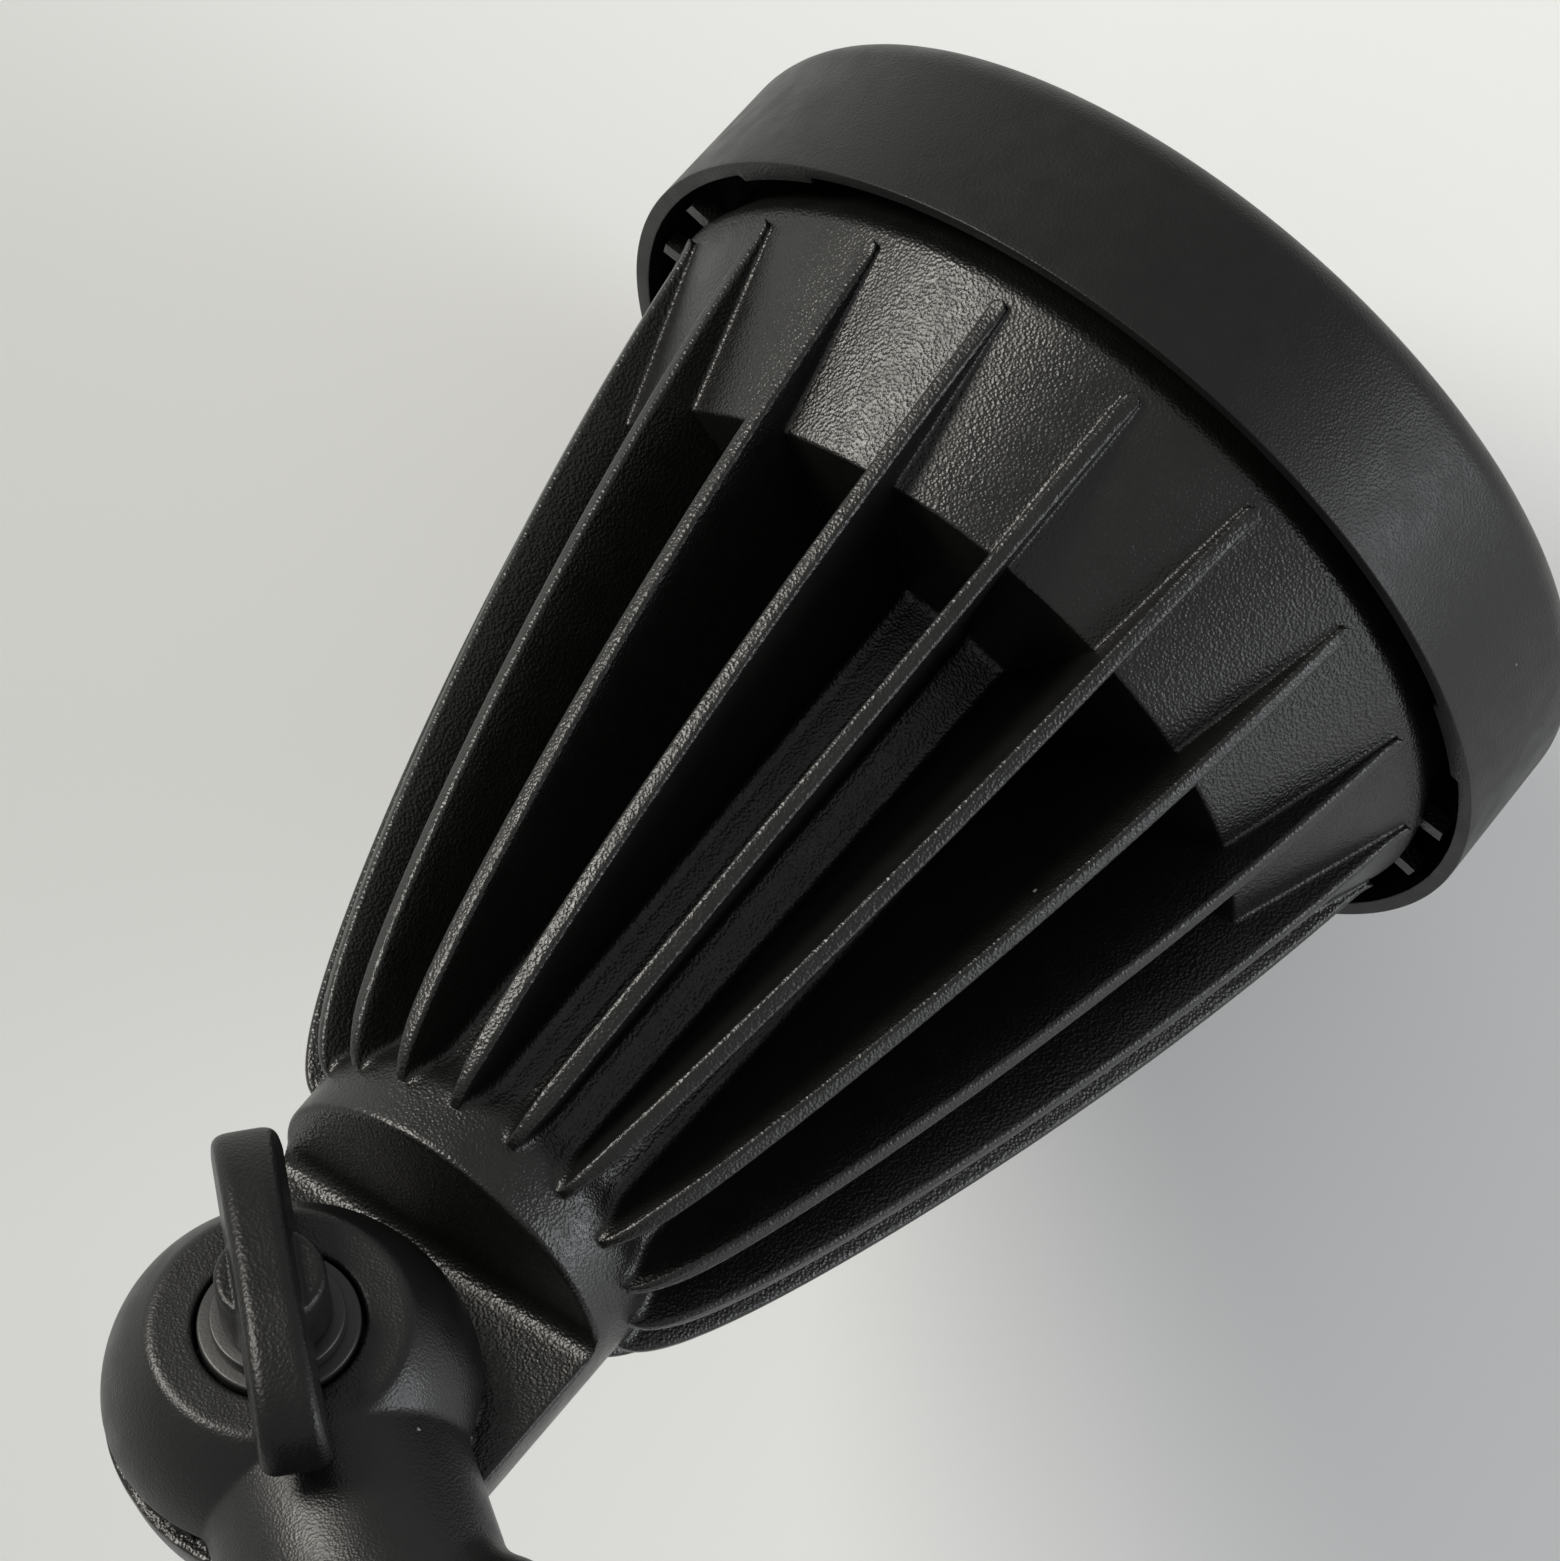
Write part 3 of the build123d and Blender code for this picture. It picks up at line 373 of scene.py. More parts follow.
def outside_stations():
    """(height, floor radius) from the seam with the neck to the mouth's front edge."""
    hub_end = HUB_Z + 1.0
    stations = [(SEAM_Z - 0.4, NECK_R - 0.02), (SEAM_Z + 0.4, NECK_R), (HUB_Z - 0.1, NECK_R)]
    for z in HUB_Z + np.array([0.0, 0.06, 0.15, 0.3, 0.5, 0.75, 1.0]):
        stations.append((z, NECK_R))
    for share in np.linspace(0, 1, 13)[1:]:
        z = hub_end + (CORE_REAR_Z - hub_end) * share
        dip = (NECK_R - CORE_REAR_R) * (0.5 - 0.5 * cos(pi * share))
        stations.append((z, NECK_R - dip))
    slope = (CORE_FRONT_R - CORE_REAR_R) / (SHELF_Z - CORE_REAR_Z)
    for z in np.linspace(CORE_REAR_Z, SHELF_Z - 1.5, 32)[1:]:
        stations.append((z, CORE_REAR_R + slope * (z - CORE_REAR_Z)))
    rear, front = SHELF_Z - SHELF_LEAN, SHELF_Z + SHELF_LEAN
    inner = rounded((rear - 5, CORE_FRONT_R), (rear, CORE_FRONT_R), (front, SHELF_R), 0.8)
    outer = rounded((rear, CORE_FRONT_R), (front, SHELF_R), (SKIRT_Z, SKIRT_R), 0.5)
    bead = rounded((front, SHELF_R), (SKIRT_Z, SKIRT_R), (MOUTH_REAR_Z, MOUTH_R), SKIRT_BEAD_R, 12)
    stations += inner + outer
    skirt_slope = (SKIRT_R - SHELF_R) / (SKIRT_Z - front)
    bead_start = bead[0][0]
    along_skirt = np.linspace(front + 1.2, FIN_END_Z - 1.2, 18)
    at_fin_ends = np.linspace(FIN_END_Z - 0.9, FIN_END_Z + 0.02, 12)
    fine = np.concatenate([along_skirt, at_fin_ends])
    for z in fine[fine < bead_start - 0.02]:
        stations.append((z, SHELF_R + skirt_slope * (z - front)))
    stations += bead
    on_bead = fine[fine >= bead_start - 0.02]
    bead_line = np.array(bead)
    for z in on_bead:
        stations.append((z, float(np.interp(z, bead_line[:, 0], bead_line[:, 1]))))
    stations.sort(key=lambda place: place[0])
    stations += [(MOUTH_REAR_Z, MOUTH_R), (MOUTH_Z - 0.4, MOUTH_R), (MOUTH_Z, MOUTH_R - 0.4)]
    return stations


def inside_stations():
    """(height, radius) of the bowl and the driver's cavity, from the mouth back to the axis."""
    return [
        (MOUTH_Z, MOUTH_IN_R + 0.4),
        (MOUTH_Z - 0.4, MOUTH_IN_R),
        (MOUTH_REAR_Z, MOUTH_IN_R),
        (FLOOR_Z + 0.05, BOWL_R),
        (FLOOR_Z, BOWL_R - 0.4),
        (FLOOR_Z, CAVITY_R),
        (CAVITY_REAR_Z, CAVITY_R),
        (CAVITY_REAR_Z, 0.01),
        (SEAM_Z - 0.4, 0.01),
    ]


def add_lugs(points, faces):
    """Pairs of small lugs on the mouth, one opposite the other."""
    for number in range(2):
        for side in (-1, 1):
            turn = pi + radians(LUG_PAIR_CENTRE + 180 * number + LUG_SPREAD * side)
            start = len(points)
            foot = MOUTH_R - 0.4
            outline = ((foot, -LUG_HALF), (LUG_OUT_R, -LUG_HALF), (LUG_OUT_R, LUG_HALF), (foot, LUG_HALF))
            for z in (LUG_REAR_Z, LUG_REAR_Z + LUG_LEN):
                for radial, across in outline:
                    x = radial * cos(turn) - across * sin(turn)
                    y = radial * sin(turn) + across * cos(turn)
                    points.append((x, y, z))
            box = ((0, 3, 2, 1), (4, 5, 6, 7), (0, 1, 5, 4), (1, 2, 6, 5), (2, 3, 7, 6), (3, 0, 4, 7))
            faces += [tuple(start + i for i in face) for face in box]


def finned_casting():
    """The head's casting in front of the neck: core, fins, skirt, mouth and bowl."""
    rows = []
    for z, floor in outside_stations():
        rows.append(full_section(floor, z, HUB_Z < z < FIN_END_Z))
    for z, radius in inside_stations():
        rows.append(full_section(radius, z, False))
    points, faces = lathe_net(np.array(rows))
    points = points.tolist()
    add_lugs(points, faces)
    piece = make_piece("head_casting", points, faces, IN_HEAD, "head", ["head_housing"], 50.0)
    tidy_mesh(piece)
    return piece


def tidy_mesh(piece):
    """Merges points that fall together and drops faces without area."""
    mesh = bmesh.new()
    mesh.from_mesh(piece.data)
    bmesh.ops.remove_doubles(mesh, verts=mesh.verts, dist=MERGE_DISTANCE * MM)
    bmesh.ops.dissolve_degenerate(mesh, dist=SLIVER_DISTANCE * MM, edges=mesh.edges)
    mesh.to_mesh(piece.data)
    mesh.free()


# ---- knuckle ------------------------------------------------------------------
def crown_height(y, z, phase):
    """Height of the radial teeth over an inner face, at a place across the knuckle screw."""
    radius = np.hypot(y, z)
    pitch = 2 * pi / TOOTH_COUNT
    turn = np.arctan2(-y, z) - phase
    along = radius * np.abs(turn - pitch * np.round(turn / pitch))
    root = radius * pitch / 2 - TOOTH_GAP / 2
    tip = TOOTH_LAND / 2 * radius / CROWN_OUT_R
    rise = np.clip((root - along) / np.maximum(root - tip, 0.1), 0, 1)
    window = np.clip((radius - CROWN_IN_R) / 0.3, 0, 1) * np.clip((CROWN_OUT_R - radius) / 0.3, 0, 1)
    return TOOTH_H * rise * window


def knuckle_distance(x, y, z):
    """The head's neck and its half of the knuckle, in the head frame."""
    from_axis = np.hypot(x, y)
    hinge_y = y - HINGE_OFFSET
    ball = np.sqrt(x**2 + hinge_y**2 + z**2) - BALL_R
    round_end = np.minimum(np.sqrt(x**2 + y**2 + z**2) - NECK_R, ball)
    side = np.minimum(np.where(z > 0, from_axis - NECK_R, round_end), ball)
    crown = TAB_FACE_X - crown_height(hinge_y, z, pi / TOOTH_COUNT - HEAD_TILT) - x
    tab = soft_max(side, crown, CROWN_EDGE)
    neck_side = from_axis - NECK_R + np.clip(z - SEAM_Z, 0, SEAM_LAP) * SEAM_SLOPE
    neck = soft_max(neck_side, HEAD_SHOULDER - z, SHOULDER_EDGE)
    body = soft_min(tab, neck, SHOULDER_FILLET)
    body = np.maximum(body, neck_side)
    body = np.minimum(body, soft_max(ball, crown, CROWN_EDGE))
    body = np.maximum(body, z - SEAM_Z - SEAM_LAP)
    flat_r = sqrt(NECK_R**2 - FACE_X**2) + HINGE_OFFSET
    across = np.hypot(hinge_y, z)
    body = soft_max(body, -soft_max(across - flat_r, FACE_X - x, CUT_EDGE), CUT_EDGE)
    hexagon = np.maximum(np.abs(z), np.abs(0.5 * z) + np.abs(sqrt(0.75) * hinge_y)) - NUT_AF / 2
    body = soft_max(body, -np.maximum(hexagon, NUT_SEAT - x), CUT_EDGE)
    return np.maximum(body, -(across - STUD_HOLE_R))


def head_knuckle():
    """Neck, shoulder and tab of the casting."""
    low = (-KNUCKLE_REACH, -KNUCKLE_REACH, -KNUCKLE_REACH)
    high = (KNUCKLE_REACH, KNUCKLE_REACH_BACK, SEAM_Z + SEAM_LAP + NET_MARGIN)
    points, faces = surface_net(knuckle_distance, low, high, NET_STEP)
    return make_piece("head_knuckle", points, faces, IN_HEAD, "head", ["head_housing"])


def stem_distance(x, y, z):
    """Arm, column, side boss and spigot, in the hinge frame."""
    ball = np.sqrt(x**2 + y**2 + z**2) - BALL_R
    ball = soft_max(ball, -FACE_X - x, 0.5)
    teeth = crown_height(y, z, 0.0)
    ball = soft_max(ball, x - ARM_FACE_X - teeth, 0.4)
    column_y = y + STEM_OFFSET
    across = np.hypot(x, column_y)
    flare = STEM_FLARE * np.clip((-z - BALL_R / 2) / STEM_LEN, 0, 1)
    column = soft_max(across - STEM_R - flare, z + BALL_R / 2, 0.5)
    shoulder = soft_min(x - ARM_FACE_X, z + STEM_SHOULDER, ARM_FILLET)
    column = soft_max(column, shoulder, 0.4)
    body = soft_min(ball, column, CREASE)
    boss_r = np.hypot(x, z - BOSS_Z)
    outer = soft_max(boss_r - BOSS_R, -column_y - BOSS_OUT, BOSS_EDGE)
    boss = soft_max(np.maximum(outer, boss_r - BOSS_R), column_y, 0.5)
    body = soft_min(body, boss, BOSS_FILLET)
    body = soft_max(body, -STEM_LEN - z, 0.5)
    spigot = np.maximum(np.maximum(across - SPIGOT_R, -STEM_LEN - SPIGOT_LEN - z), z + STEM_LEN - 1)
    body = np.minimum(body, spigot)
    bore = np.maximum(boss_r - GLAND_BORE_R, column_y + BOSS_OUT - GLAND_DEPTH)
    body = soft_max(body, -bore, 0.3)
    turn_r = np.hypot(y, z)
    recess = np.maximum(turn_r - COUNTERBORE_R, x + COUNTERBORE_FLOOR)
    body = soft_max(body, -recess, 0.45)
    return np.maximum(body, STUD_HOLE_R - turn_r)


def stem():
    """The casting between the knuckle and the spike."""
    low, high = (-19.0, -20.0, -STEM_LEN - SPIGOT_LEN - 0.8), (14.8, 19.0, 18.8)
    points, faces = surface_net(stem_distance, low, high, NET_STEP)
    return make_piece("stem_casting", points, faces, AT_HINGE, "base", ["stem"])


# ---- thumb screw --------------------------------------------------------------
def wing_distance(along, across, out):
    """Wing and hub: along the wing, across it, and out along the screw."""
    reach = np.maximum(out - WING_BASE, 0)
    length_share = np.abs(along) * 2 / WING_LENGTH
    height_share = reach / (WING_TOP - WING_BASE)
    round_share = length_share**WING_POWER + height_share**WING_POWER
    from_middle = np.hypot(along, reach)
    side = from_middle * (1 - 1 / np.maximum(round_share ** (1 / WING_POWER), 0.05))
    side = soft_max(side, WING_BASE - out, WING_BASE_EDGE)
    taper = np.clip((out - WING_BASE) / (WING_TOP - WING_BASE), 0, 1)
    half = (WING_BASE_T + (WING_TOP_T - WING_BASE_T) * taper) / 2
    end = np.abs(along) - WING_LENGTH / 2 + WING_CORNER_R
    face = np.abs(across - WING_SHIFT) - half + WING_CORNER_R
    top = np.hypot(np.maximum(end, 0), np.maximum(face, 0)) + np.minimum(np.maximum(end, face), 0)
    wing = soft_max(side, top - WING_CORNER_R, WING_TOP_EDGE)
    middle = (SPRING_WASHER_TOP + HUB_TOP) / 2
    hub_end = np.abs(out - middle) - (HUB_TOP - SPRING_WASHER_TOP) / 2
    hub = soft_max(np.hypot(along, across) - WING_HUB_R, hub_end, 0.8)
    return soft_min(wing, hub, 0.4)


def thumb_wing():
    """The wing as it stands, turned on the screw's axis."""
    half_length, half_width = WING_LENGTH / 2 + NET_MARGIN, WING_HUB_R + NET_MARGIN
    low = (-half_length, -half_width, SPRING_WASHER_TOP - NET_MARGIN)
    high = (half_length, half_width, WING_TOP + NET_MARGIN)
    points, faces = surface_net(wing_distance, low, high, WING_STEP)
    to_place = Matrix(((0, 0, -1, 0), (0, 1, 0, 0), (1, 0, 0, 0), (0, 0, 0, 1)))
    place = AT_HINGE @ Matrix.Rotation(WING_ANGLE, 4, "X") @ to_place
    return make_piece("wing_moulding", points, faces, place, "screw", ["thumb_wing"])


def turned_piece(name, outline, place, body, replaced, around=160):
    """Closed lathe from (radius, height) points."""
    rows = []
    angles = np.linspace(0, 2 * pi, around, endpoint=False)
    for radius, height in outline:
        x, y = radius * np.cos(angles), radius * np.sin(angles)
        rows.append(np.stack([x, y, np.full(around, height)], 1))
    points, faces = lathe_net(np.array(rows))
    return make_piece(name, points, faces, place, body, replaced)


def washer_outline(outer, inner, foot, top, edge):
    """Outline of a flat ring with rounded edges."""
    corners = [(inner, foot), (outer, foot), (outer, top), (inner, top)]
    points = []
    for i, corner in enumerate(corners):
        points += rounded(corners[i - 1], corner, corners[(i + 1) % 4], edge, 4)
    return points


def washers():
    """Flat washer and spring washer on the counterbore's floor."""
    place = AT_HINGE @ Matrix.Rotation(-pi / 2, 4, "Y")
    flat = washer_outline(FLAT_WASHER_R, WASHER_IN_R, FLAT_WASHER_FOOT, FLAT_WASHER_TOP, 0.3)
    lower = turned_piece("flat_ring", flat, place, "washers", ["flat_washer"])
    spring = washer_outline(SPRING_WASHER_R, WASHER_IN_R, FLAT_WASHER_TOP, SPRING_WASHER_TOP, 0.25)
    upper = turned_piece("spring_ring", spring, place, "washers", ["spring_washer"])
    return lower, upper


# ---- front ring ---------------------------------------------------------------
def ring_outer_r(z):
    return RING_R - RING_TAPER * (z - RING_REAR_Z) / (RING_BAND - RING_FRONT_ROUND)


def ring_outline():
    """(radius, height, inner) round the ring's wall: inner points move with the pads and ribs."""
    front = RING_REAR_Z + RING_BAND
    lip = front - RING_LIP_T
    band_end = (ring_outer_r(front - RING_FRONT_ROUND), front - RING_FRONT_ROUND)
    inner_r = RING_R - RING_WALL
    outer_rear, inner_rear = (RING_R, RING_REAR_Z), (inner_r, RING_REAR_Z)
    face_r = band_end[0] - RING_FRONT_ROUND
    inner_front = (face_r + 1.0, lip)
    lip_front, lip_rear = (RING_LIP_IN_R, front), (RING_LIP_IN_R, lip)
    points = [(r, z, False) for r, z in rounded(inner_rear, outer_rear, band_end, RING_EDGE_R)]
    points += [(ring_outer_r(z), z, False) for z in np.linspace(RING_REAR_Z + 1, band_end[1], 10)]
    for step in range(1, 13):
        turn = pi / 2 * step / 12
        radius = face_r + RING_FRONT_ROUND * cos(turn)
        points.append((radius, band_end[1] + RING_FRONT_ROUND * sin(turn), False))
    points += [(r, z, False) for r, z in rounded((face_r, front), lip_front, lip_rear, 0.4, 4)]
    points += [(r, z, False) for r, z in rounded(lip_front, lip_rear, inner_front, 0.3, 3)]
    points.append((inner_front[0], lip, False))
    pad_end = RING_REAR_Z + PAD_LEN
    for z in (lip - 3.0, pad_end + 4, pad_end + 0.15, pad_end - 0.15, RING_REAR_Z + 3):
        points.append((inner_r, z, True))
    points += [(r, z, True) for r, z in rounded((inner_r, lip), inner_rear, outer_rear, RING_EDGE_R, 4)]
    return points


def ring_inside(angle, radius, z):
    """Radius of the inner wall with its pads and ribs, at an angle in degrees."""
    for number in range(3):
        centre = PAD_CENTRE + 120 * number
        off = (angle - centre + 180) % 360 - 180
        if abs(off) <= PAD_ANGLE / 2 and z < RING_REAR_Z + PAD_LEN:
            radius -= PAD_T
        for side in (-1, 1):
            rib_off = (angle - centre - 60 - side * RIB_SPREAD + 180) % 360 - 180
            if abs(rib_off) <= RIB_ANGLE / 2 and z > RING_REAR_Z + 2:
                radius = RIB_IN_R
    return radius


def front_ring():
    """Band with its rounded front, lip, pads, ribs and the mould's gate mark."""
    around = 720
    rows = []
    for radius, z, inner in ring_outline():
        ring = []
        for step in range(around):
            angle = 360 * step / around
            r = ring_inside(angle, radius, z) if inner else radius
            gate = abs((angle - GATE_ANGLE + 180) % 360 - 180) <= GATE_WIDTH / 2
            height = z + GATE_DEPTH if gate and inner and z < RING_REAR_Z + 1 else z
            turn = radians(angle) + pi
            ring.append((r * cos(turn), r * sin(turn), height))
        rows.append(ring)
    points, faces = lathe_net(np.array(rows))
    return make_piece("ring_band_piece", points, faces, IN_HEAD, "ring", ["front_ring"], 30.0)


# ---- camera -------------------------------------------------------------------
CAMERA_PLACE = Vector((-1.28762, 0.08010, -0.67642))
CAMERA_TURN = Quaternion((0.256899, 0.686689, -0.541496, -0.411392))
CAMERA_LENS = 369.68
TO_CAMERA = CAMERA_TURN @ Vector((0, 0, 1))
IMAGE_RIGHT = CAMERA_TURN @ Vector((1, 0, 0))
IMAGE_UP = CAMERA_TURN @ Vector((0, 1, 0))
LOOK_CENTRE = Vector((0.0, -0.045, 0.137))


def add_camera():
    data = bpy.data.cameras.new("camera")
    data.lens = CAMERA_LENS
    data.sensor_width = 36.0
    data.sensor_fit = "HORIZONTAL"
    data.clip_end = 50.0
    cam = bpy.data.objects.new("camera", data)
    cam.location = CAMERA_PLACE
    cam.rotation_mode = "QUATERNION"
    cam.rotation_quaternion = CAMERA_TURN
    bpy.context.scene.collection.objects.link(cam)
    bpy.context.scene.camera = cam


# ---- materials --------------------------------------------------------------
NOISE_LOW = 0.3
NOISE_HIGH = 0.7
DRIFT_SCALE = 60.0
GLOSS_SCALE = 320.0
DUST_RADIUS = 0.024
DUST_COLOR = (0.2, 0.2, 0.19, 1)
FINE_GRAIN = 1.6
FINE_SHARE = 0.35
PIT_SMOOTHNESS = 0.6
COAT_BLACK = (0.005, 0.005, 0.0045)
PLASTIC_BLACK = (0.006, 0.006, 0.006)


def new_material(name):
    mat = bpy.data.materials.new(name)
    mat.use_nodes = True
    tree = mat.node_tree
    shader = tree.nodes["Principled BSDF"]
    coords = tree.nodes.new("ShaderNodeTexCoord")
    return mat, tree, shader, coords


def noise(tree, coords, scale, detail=2.0, roughness=0.5):
    node = tree.nodes.new("ShaderNodeTexNoise")
    node.inputs["Scale"].default_value = scale
    node.inputs["Detail"].default_value = detail
    node.inputs["Roughness"].default_value = roughness
    tree.links.new(coords.outputs["Object"], node.inputs["Vector"])
    return node


def spread(tree, value, low, high):
    """Maps a noise value on to a range."""
    node = tree.nodes.new("ShaderNodeMapRange")
    node.inputs["From Min"].default_value = NOISE_LOW
    node.inputs["From Max"].default_value = NOISE_HIGH
    node.inputs["To Min"].default_value = low
    node.inputs["To Max"].default_value = high
    tree.links.new(value, node.inputs["Value"])
    return node.outputs["Result"]


def tinted(tree, coords, shader, color, change):
    """Base colour that drifts a little from place to place."""
    drift = noise(tree, coords, DRIFT_SCALE, 4.0)
    ramp = tree.nodes.new("ShaderNodeValToRGB")
    ramp.color_ramp.elements[0].position = NOISE_LOW
    ramp.color_ramp.elements[1].position = NOISE_HIGH
    ramp.color_ramp.elements[0].color = (*[c * (1 - change) for c in color], 1)
    ramp.color_ramp.elements[1].color = (*[c * (1 + change) for c in color], 1)
    tree.links.new(drift.outputs["Fac"], ramp.inputs["Fac"])
    tree.links.new(ramp.outputs["Color"], shader.inputs["Base Color"])
    return ramp


def dusted(tree, coords, shader, ramp, cell):
    """A few pale specks of dust, far apart."""
    dots = tree.nodes.new("ShaderNodeTexVoronoi")
    dots.inputs["Scale"].default_value = cell
    tree.links.new(coords.outputs["Object"], dots.inputs["Vector"])
    near = tree.nodes.new("ShaderNodeMath")
    near.operation = "LESS_THAN"
    near.inputs[1].default_value = DUST_RADIUS
    tree.links.new(dots.outputs["Distance"], near.inputs[0])
    mix = tree.nodes.new("ShaderNodeMix")
    mix.data_type = "RGBA"
    mix.inputs["B"].default_value = DUST_COLOR
    tree.links.new(near.outputs["Value"], mix.inputs["Factor"])
    tree.links.new(ramp.outputs["Color"], mix.inputs["A"])
    tree.links.new(mix.outputs["Result"], shader.inputs["Base Color"])


def grained(tree, coords, shader, scale, depth):
    """Bump from round pits and a finer grain between them."""
    pits = tree.nodes.new("ShaderNodeTexVoronoi")
    pits.feature = "SMOOTH_F1"
    pits.inputs["Scale"].default_value = scale
    pits.inputs["Smoothness"].default_value = PIT_SMOOTHNESS
    tree.links.new(coords.outputs["Object"], pits.inputs["Vector"])
    fine = noise(tree, coords, scale * FINE_GRAIN, 1.0)
    low = tree.nodes.new("ShaderNodeBump")
    low.inputs["Distance"].default_value = depth
    tree.links.new(pits.outputs["Distance"], low.inputs["Height"])
    high = tree.nodes.new("ShaderNodeBump")
    high.inputs["Distance"].default_value = depth * FINE_SHARE
    tree.links.new(fine.outputs["Fac"], high.inputs["Height"])
    tree.links.new(low.outputs["Normal"], high.inputs["Normal"])
    tree.links.new(high.outputs["Normal"], shader.inputs["Normal"])


def finish_of(name, color, roughness, grain, depth, metallic=0.0, spec=0.5, change=0.12, dust=0.0):
    """Surface with colour drift, uneven gloss and grain; grain is in features per metre."""
    mat, tree, shader, coords = new_material(name)
    shader.inputs["Metallic"].default_value = metallic
    shader.inputs["Specular IOR Level"].default_value = spec
    ramp = tinted(tree, coords, shader, color, change)
    if dust:
        dusted(tree, coords, shader, ramp, dust)
    gloss = noise(tree, coords, GLOSS_SCALE, 3.0)
    rough = spread(tree, gloss.outputs["Fac"], roughness - 0.05, roughness + 0.05)
    tree.links.new(rough, shader.inputs["Roughness"])
    grained(tree, coords, shader, grain, depth)
    return mat


def glass_finish(name):
    """Clear glass with a faint green and a little haze."""
    mat = finish_of(name, (0.92, 0.97, 0.95), 0.08, 900.0, 0.000002, spec=0.5, change=0.02)
    mat.node_tree.nodes["Principled BSDF"].inputs["Transmission Weight"].default_value = 1.0
    return mat


def make_finishes():
    return {
        "cast": finish_of("cast_coat", COAT_BLACK, 0.33, 3200.0, 0.00007, spec=0.47, dust=110.0),
        "arm": finish_of("arm_coat", (0.005, 0.005, 0.005), 0.38, 3600.0, 0.00004, spec=0.4, dust=110.0),
        "ring": finish_of("ring_coat", (0.006, 0.006, 0.006), 0.4, 3600.0, 0.00004, spec=0.3, dust=100.0),
        "plastic": finish_of("black_plastic", PLASTIC_BLACK, 0.36, 2600.0, 0.00005, spec=0.26, dust=100.0),
        "washer": finish_of("dark_washer", (0.014, 0.014, 0.014), 0.42, 3500.0, 0.00001),
        "steel": finish_of("plain_steel", (0.55, 0.55, 0.56), 0.3, 4000.0, 0.000005, metallic=1.0),
        "rubber": finish_of("seal_rubber", (0.02, 0.02, 0.02), 0.7, 2500.0, 0.00002),
        "mirror": finish_of("reflector_metal", (0.85, 0.85, 0.86), 0.12, 800.0, 0.000003, metallic=1.0),
        "alloy": finish_of("bare_alloy", (0.7, 0.71, 0.72), 0.35, 3000.0, 0.00001, metallic=1.0),
        "pad": finish_of("thermal_sheet", (0.4, 0.41, 0.43), 0.8, 2500.0, 0.00002),
        "white": finish_of("white_moulding", (0.75, 0.75, 0.72), 0.45, 2500.0, 0.00001, change=0.04),
        "phosphor": finish_of("phosphor", (0.85, 0.6, 0.06), 0.5, 2500.0, 0.00001, change=0.06),
        "sleeve": finish_of("insulating_sheet", (0.25, 0.26, 0.27), 0.5, 2000.0, 0.00001),
        "green": finish_of("green_mask", (0.04, 0.2, 0.08), 0.35, 2500.0, 0.00001, change=0.08),
        "tape": finish_of("winding_tape", (0.7, 0.52, 0.08), 0.4, 2000.0, 0.00001),
        "dark": finish_of("shrink_sleeve", (0.05, 0.06, 0.1), 0.3, 2000.0, 0.00001),
        "glass": glass_finish("clear_glass"),
    }


NODE_FINISH = {
    "lens_glass": "glass",
    "lens_gasket": "rubber",
    "reflector": "mirror",
    "carrier_plate": "alloy",
    "thermal_pad": "pad",
    "led_board": "white",
    "led_phosphor": "phosphor",
    "board_holder": "white",
    "holder_screws": "steel",
    "plate_screws": "steel",
    "driver_sleeve": "sleeve",
    "driver_board": "green",
    "driver_transformer": "tape",
    "driver_capacitors": "dark",
    "tab_nut": "steel",
    "thumb_stud": "steel",
    "gland_nut": "plastic",
    "gland_washer": "steel",
    "gland_seal": "rubber",
    "lock_nut": "plastic",
    "spigot_seal": "rubber",
    "spike": "plastic",
    "thumb_wing": "plastic",
    "front_ring": "ring",
    "flat_washer": "washer",
    "spring_washer": "washer",
}


def dress(obj, mat):
    if obj.material_slots:
        for slot in obj.material_slots:
            slot.material = mat
    else:
        obj.data.materials.append(mat)


def dress_all(pieces):
    finishes = make_finishes()
    for name in nodes:
        dress(nodes[name], finishes[NODE_FINISH.get(name, "cast")])
    for piece, kind in pieces:
        dress(piece, finishes[kind])


# ---- stage and light --------------------------------------------------------
TABLE_BACK = 0.062
TABLE_SIZE = 3.0
# painted light on the paper: a darker colour on the left and a paler one on the right stand in for the
# light falling off across the table
TABLE_PAINTED_SHADE = (0.55, 0.56, 0.56)
TABLE_PAINTED_LIGHT = (0.77, 0.775, 0.775)
# where the painted light fades across the paper, in metres along its own X
PAINTED_LIGHT_FADE_FROM = -0.09
PAINTED_LIGHT_FADE_TO = 0.05
# name, metres right, up and towards the camera from the object, size, power in watts, colour
LAMPS = (
    ("key", -0.85, 0.65, 0.74, 0.6, 17.0, (1.0, 0.97, 0.89)),
    ("side", 1.2, -0.1, 0.47, 0.6, 6.0, (0.95, 0.97, 1.0)),
    ("low", 1.08, -0.69, 0.25, 0.6, 2.0, (0.93, 0.96, 1.0)),
)
WORLD_COLOR = (0.75, 0.75, 0.75)
WORLD_STRENGTH = 0.6


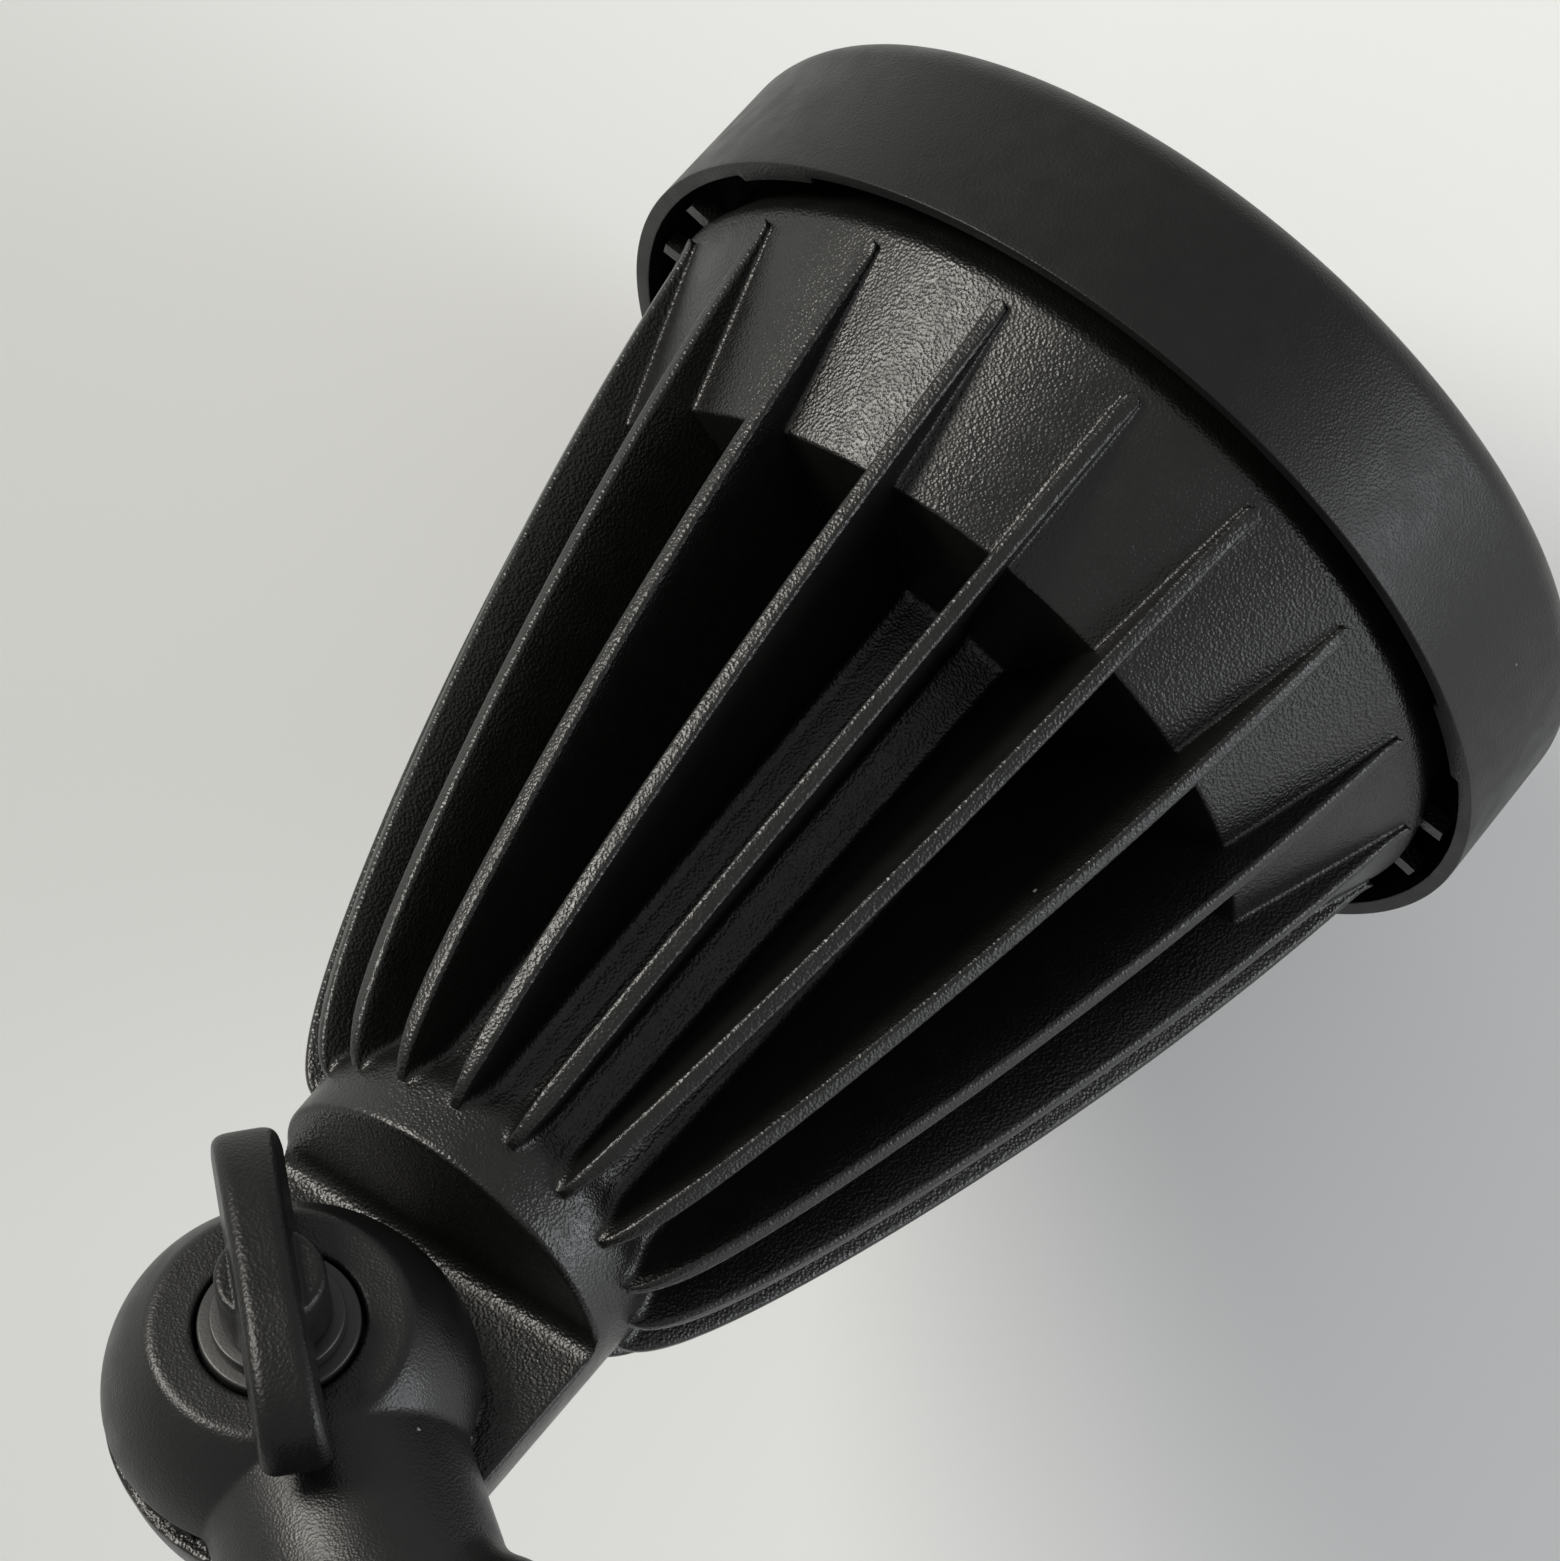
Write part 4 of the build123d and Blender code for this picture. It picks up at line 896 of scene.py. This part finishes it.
def paint_light_across_paper(tree, coords, shader):
    """Paper with painted light: its colour goes from a painted shade on the left to painted light on the
    right, in place of the light falling off across the table.
    """
    parts = tree.nodes.new("ShaderNodeSeparateXYZ")
    tree.links.new(coords.outputs["Object"], parts.inputs["Vector"])
    share = tree.nodes.new("ShaderNodeMapRange")
    share.inputs["From Min"].default_value = PAINTED_LIGHT_FADE_FROM
    share.inputs["From Max"].default_value = PAINTED_LIGHT_FADE_TO
    tree.links.new(parts.outputs["X"], share.inputs["Value"])
    ramp = tree.nodes.new("ShaderNodeValToRGB")
    ramp.color_ramp.elements[0].color = (*TABLE_PAINTED_SHADE, 1)
    ramp.color_ramp.elements[1].color = (*TABLE_PAINTED_LIGHT, 1)
    tree.links.new(share.outputs["Result"], ramp.inputs["Fac"])
    tree.links.new(ramp.outputs["Color"], shader.inputs["Base Color"])


def add_table():
    """Paper behind the object, square to the view, seen from the front only."""
    mesh = bpy.data.meshes.new("table_top")
    size = TABLE_SIZE
    corners = [(-size, -size, 0), (size, -size, 0), (size, size, 0), (-size, size, 0)]
    mesh.from_pydata(corners, [], [(0, 1, 2, 3)])
    table = bpy.data.objects.new("table_top", mesh)
    table.rotation_mode = "QUATERNION"
    table.rotation_quaternion = CAMERA_TURN
    table.location = LOOK_CENTRE - TO_CAMERA * TABLE_BACK
    bpy.context.scene.collection.objects.link(table)
    mat, tree, shader, coords = new_material("table_paper_painted_light")
    # the paper's colour carries painted light: darker on the left, paler on the right
    paint_light_across_paper(tree, coords, shader)
    shader.inputs["Roughness"].default_value = 0.8
    geometry = tree.nodes.new("ShaderNodeNewGeometry")
    clear = tree.nodes.new("ShaderNodeBsdfTransparent")
    mix = tree.nodes.new("ShaderNodeMixShader")
    out = tree.nodes["Material Output"]
    tree.links.new(geometry.outputs["Backfacing"], mix.inputs["Fac"])
    tree.links.new(shader.outputs["BSDF"], mix.inputs[1])
    tree.links.new(clear.outputs["BSDF"], mix.inputs[2])
    tree.links.new(mix.outputs["Shader"], out.inputs["Surface"])
    mesh.materials.append(mat)


def add_lamp(name, right, up, forward, size, power, color):
    """Area lamp placed in metres from the object, right and up as seen in the picture."""
    data = bpy.data.lights.new(name, "AREA")
    data.shape = "DISK"
    data.size = size
    data.energy = power
    data.color = color
    lamp = bpy.data.objects.new(name, data)
    lamp.location = LOOK_CENTRE + IMAGE_RIGHT * right + IMAGE_UP * up + TO_CAMERA * forward
    lamp.rotation_mode = "QUATERNION"
    lamp.rotation_quaternion = (LOOK_CENTRE - lamp.location).to_track_quat("-Z", "Y")
    bpy.context.scene.collection.objects.link(lamp)


def add_light():
    for lamp in LAMPS:
        add_lamp(*lamp)
    world = bpy.data.worlds.new("world")
    world.use_nodes = True
    world.node_tree.nodes["Background"].inputs["Color"].default_value = (*WORLD_COLOR, 1)
    world.node_tree.nodes["Background"].inputs["Strength"].default_value = WORLD_STRENGTH
    bpy.context.scene.world = world


# ---- the part -----------------------------------------------------------------
NET_STEP = 0.3
WING_STEP = 0.2

flat_ring, spring_ring = washers()
dress_all(
    [
        (finned_casting(), "cast"),
        (head_knuckle(), "cast"),
        (stem(), "arm"),
        (thumb_wing(), "plastic"),
        (front_ring(), "ring"),
        (flat_ring, "washer"),
        (spring_ring, "washer"),
    ]
)
add_camera()
add_table()
add_light()
bpy.context.scene.view_settings.view_transform = "Standard"
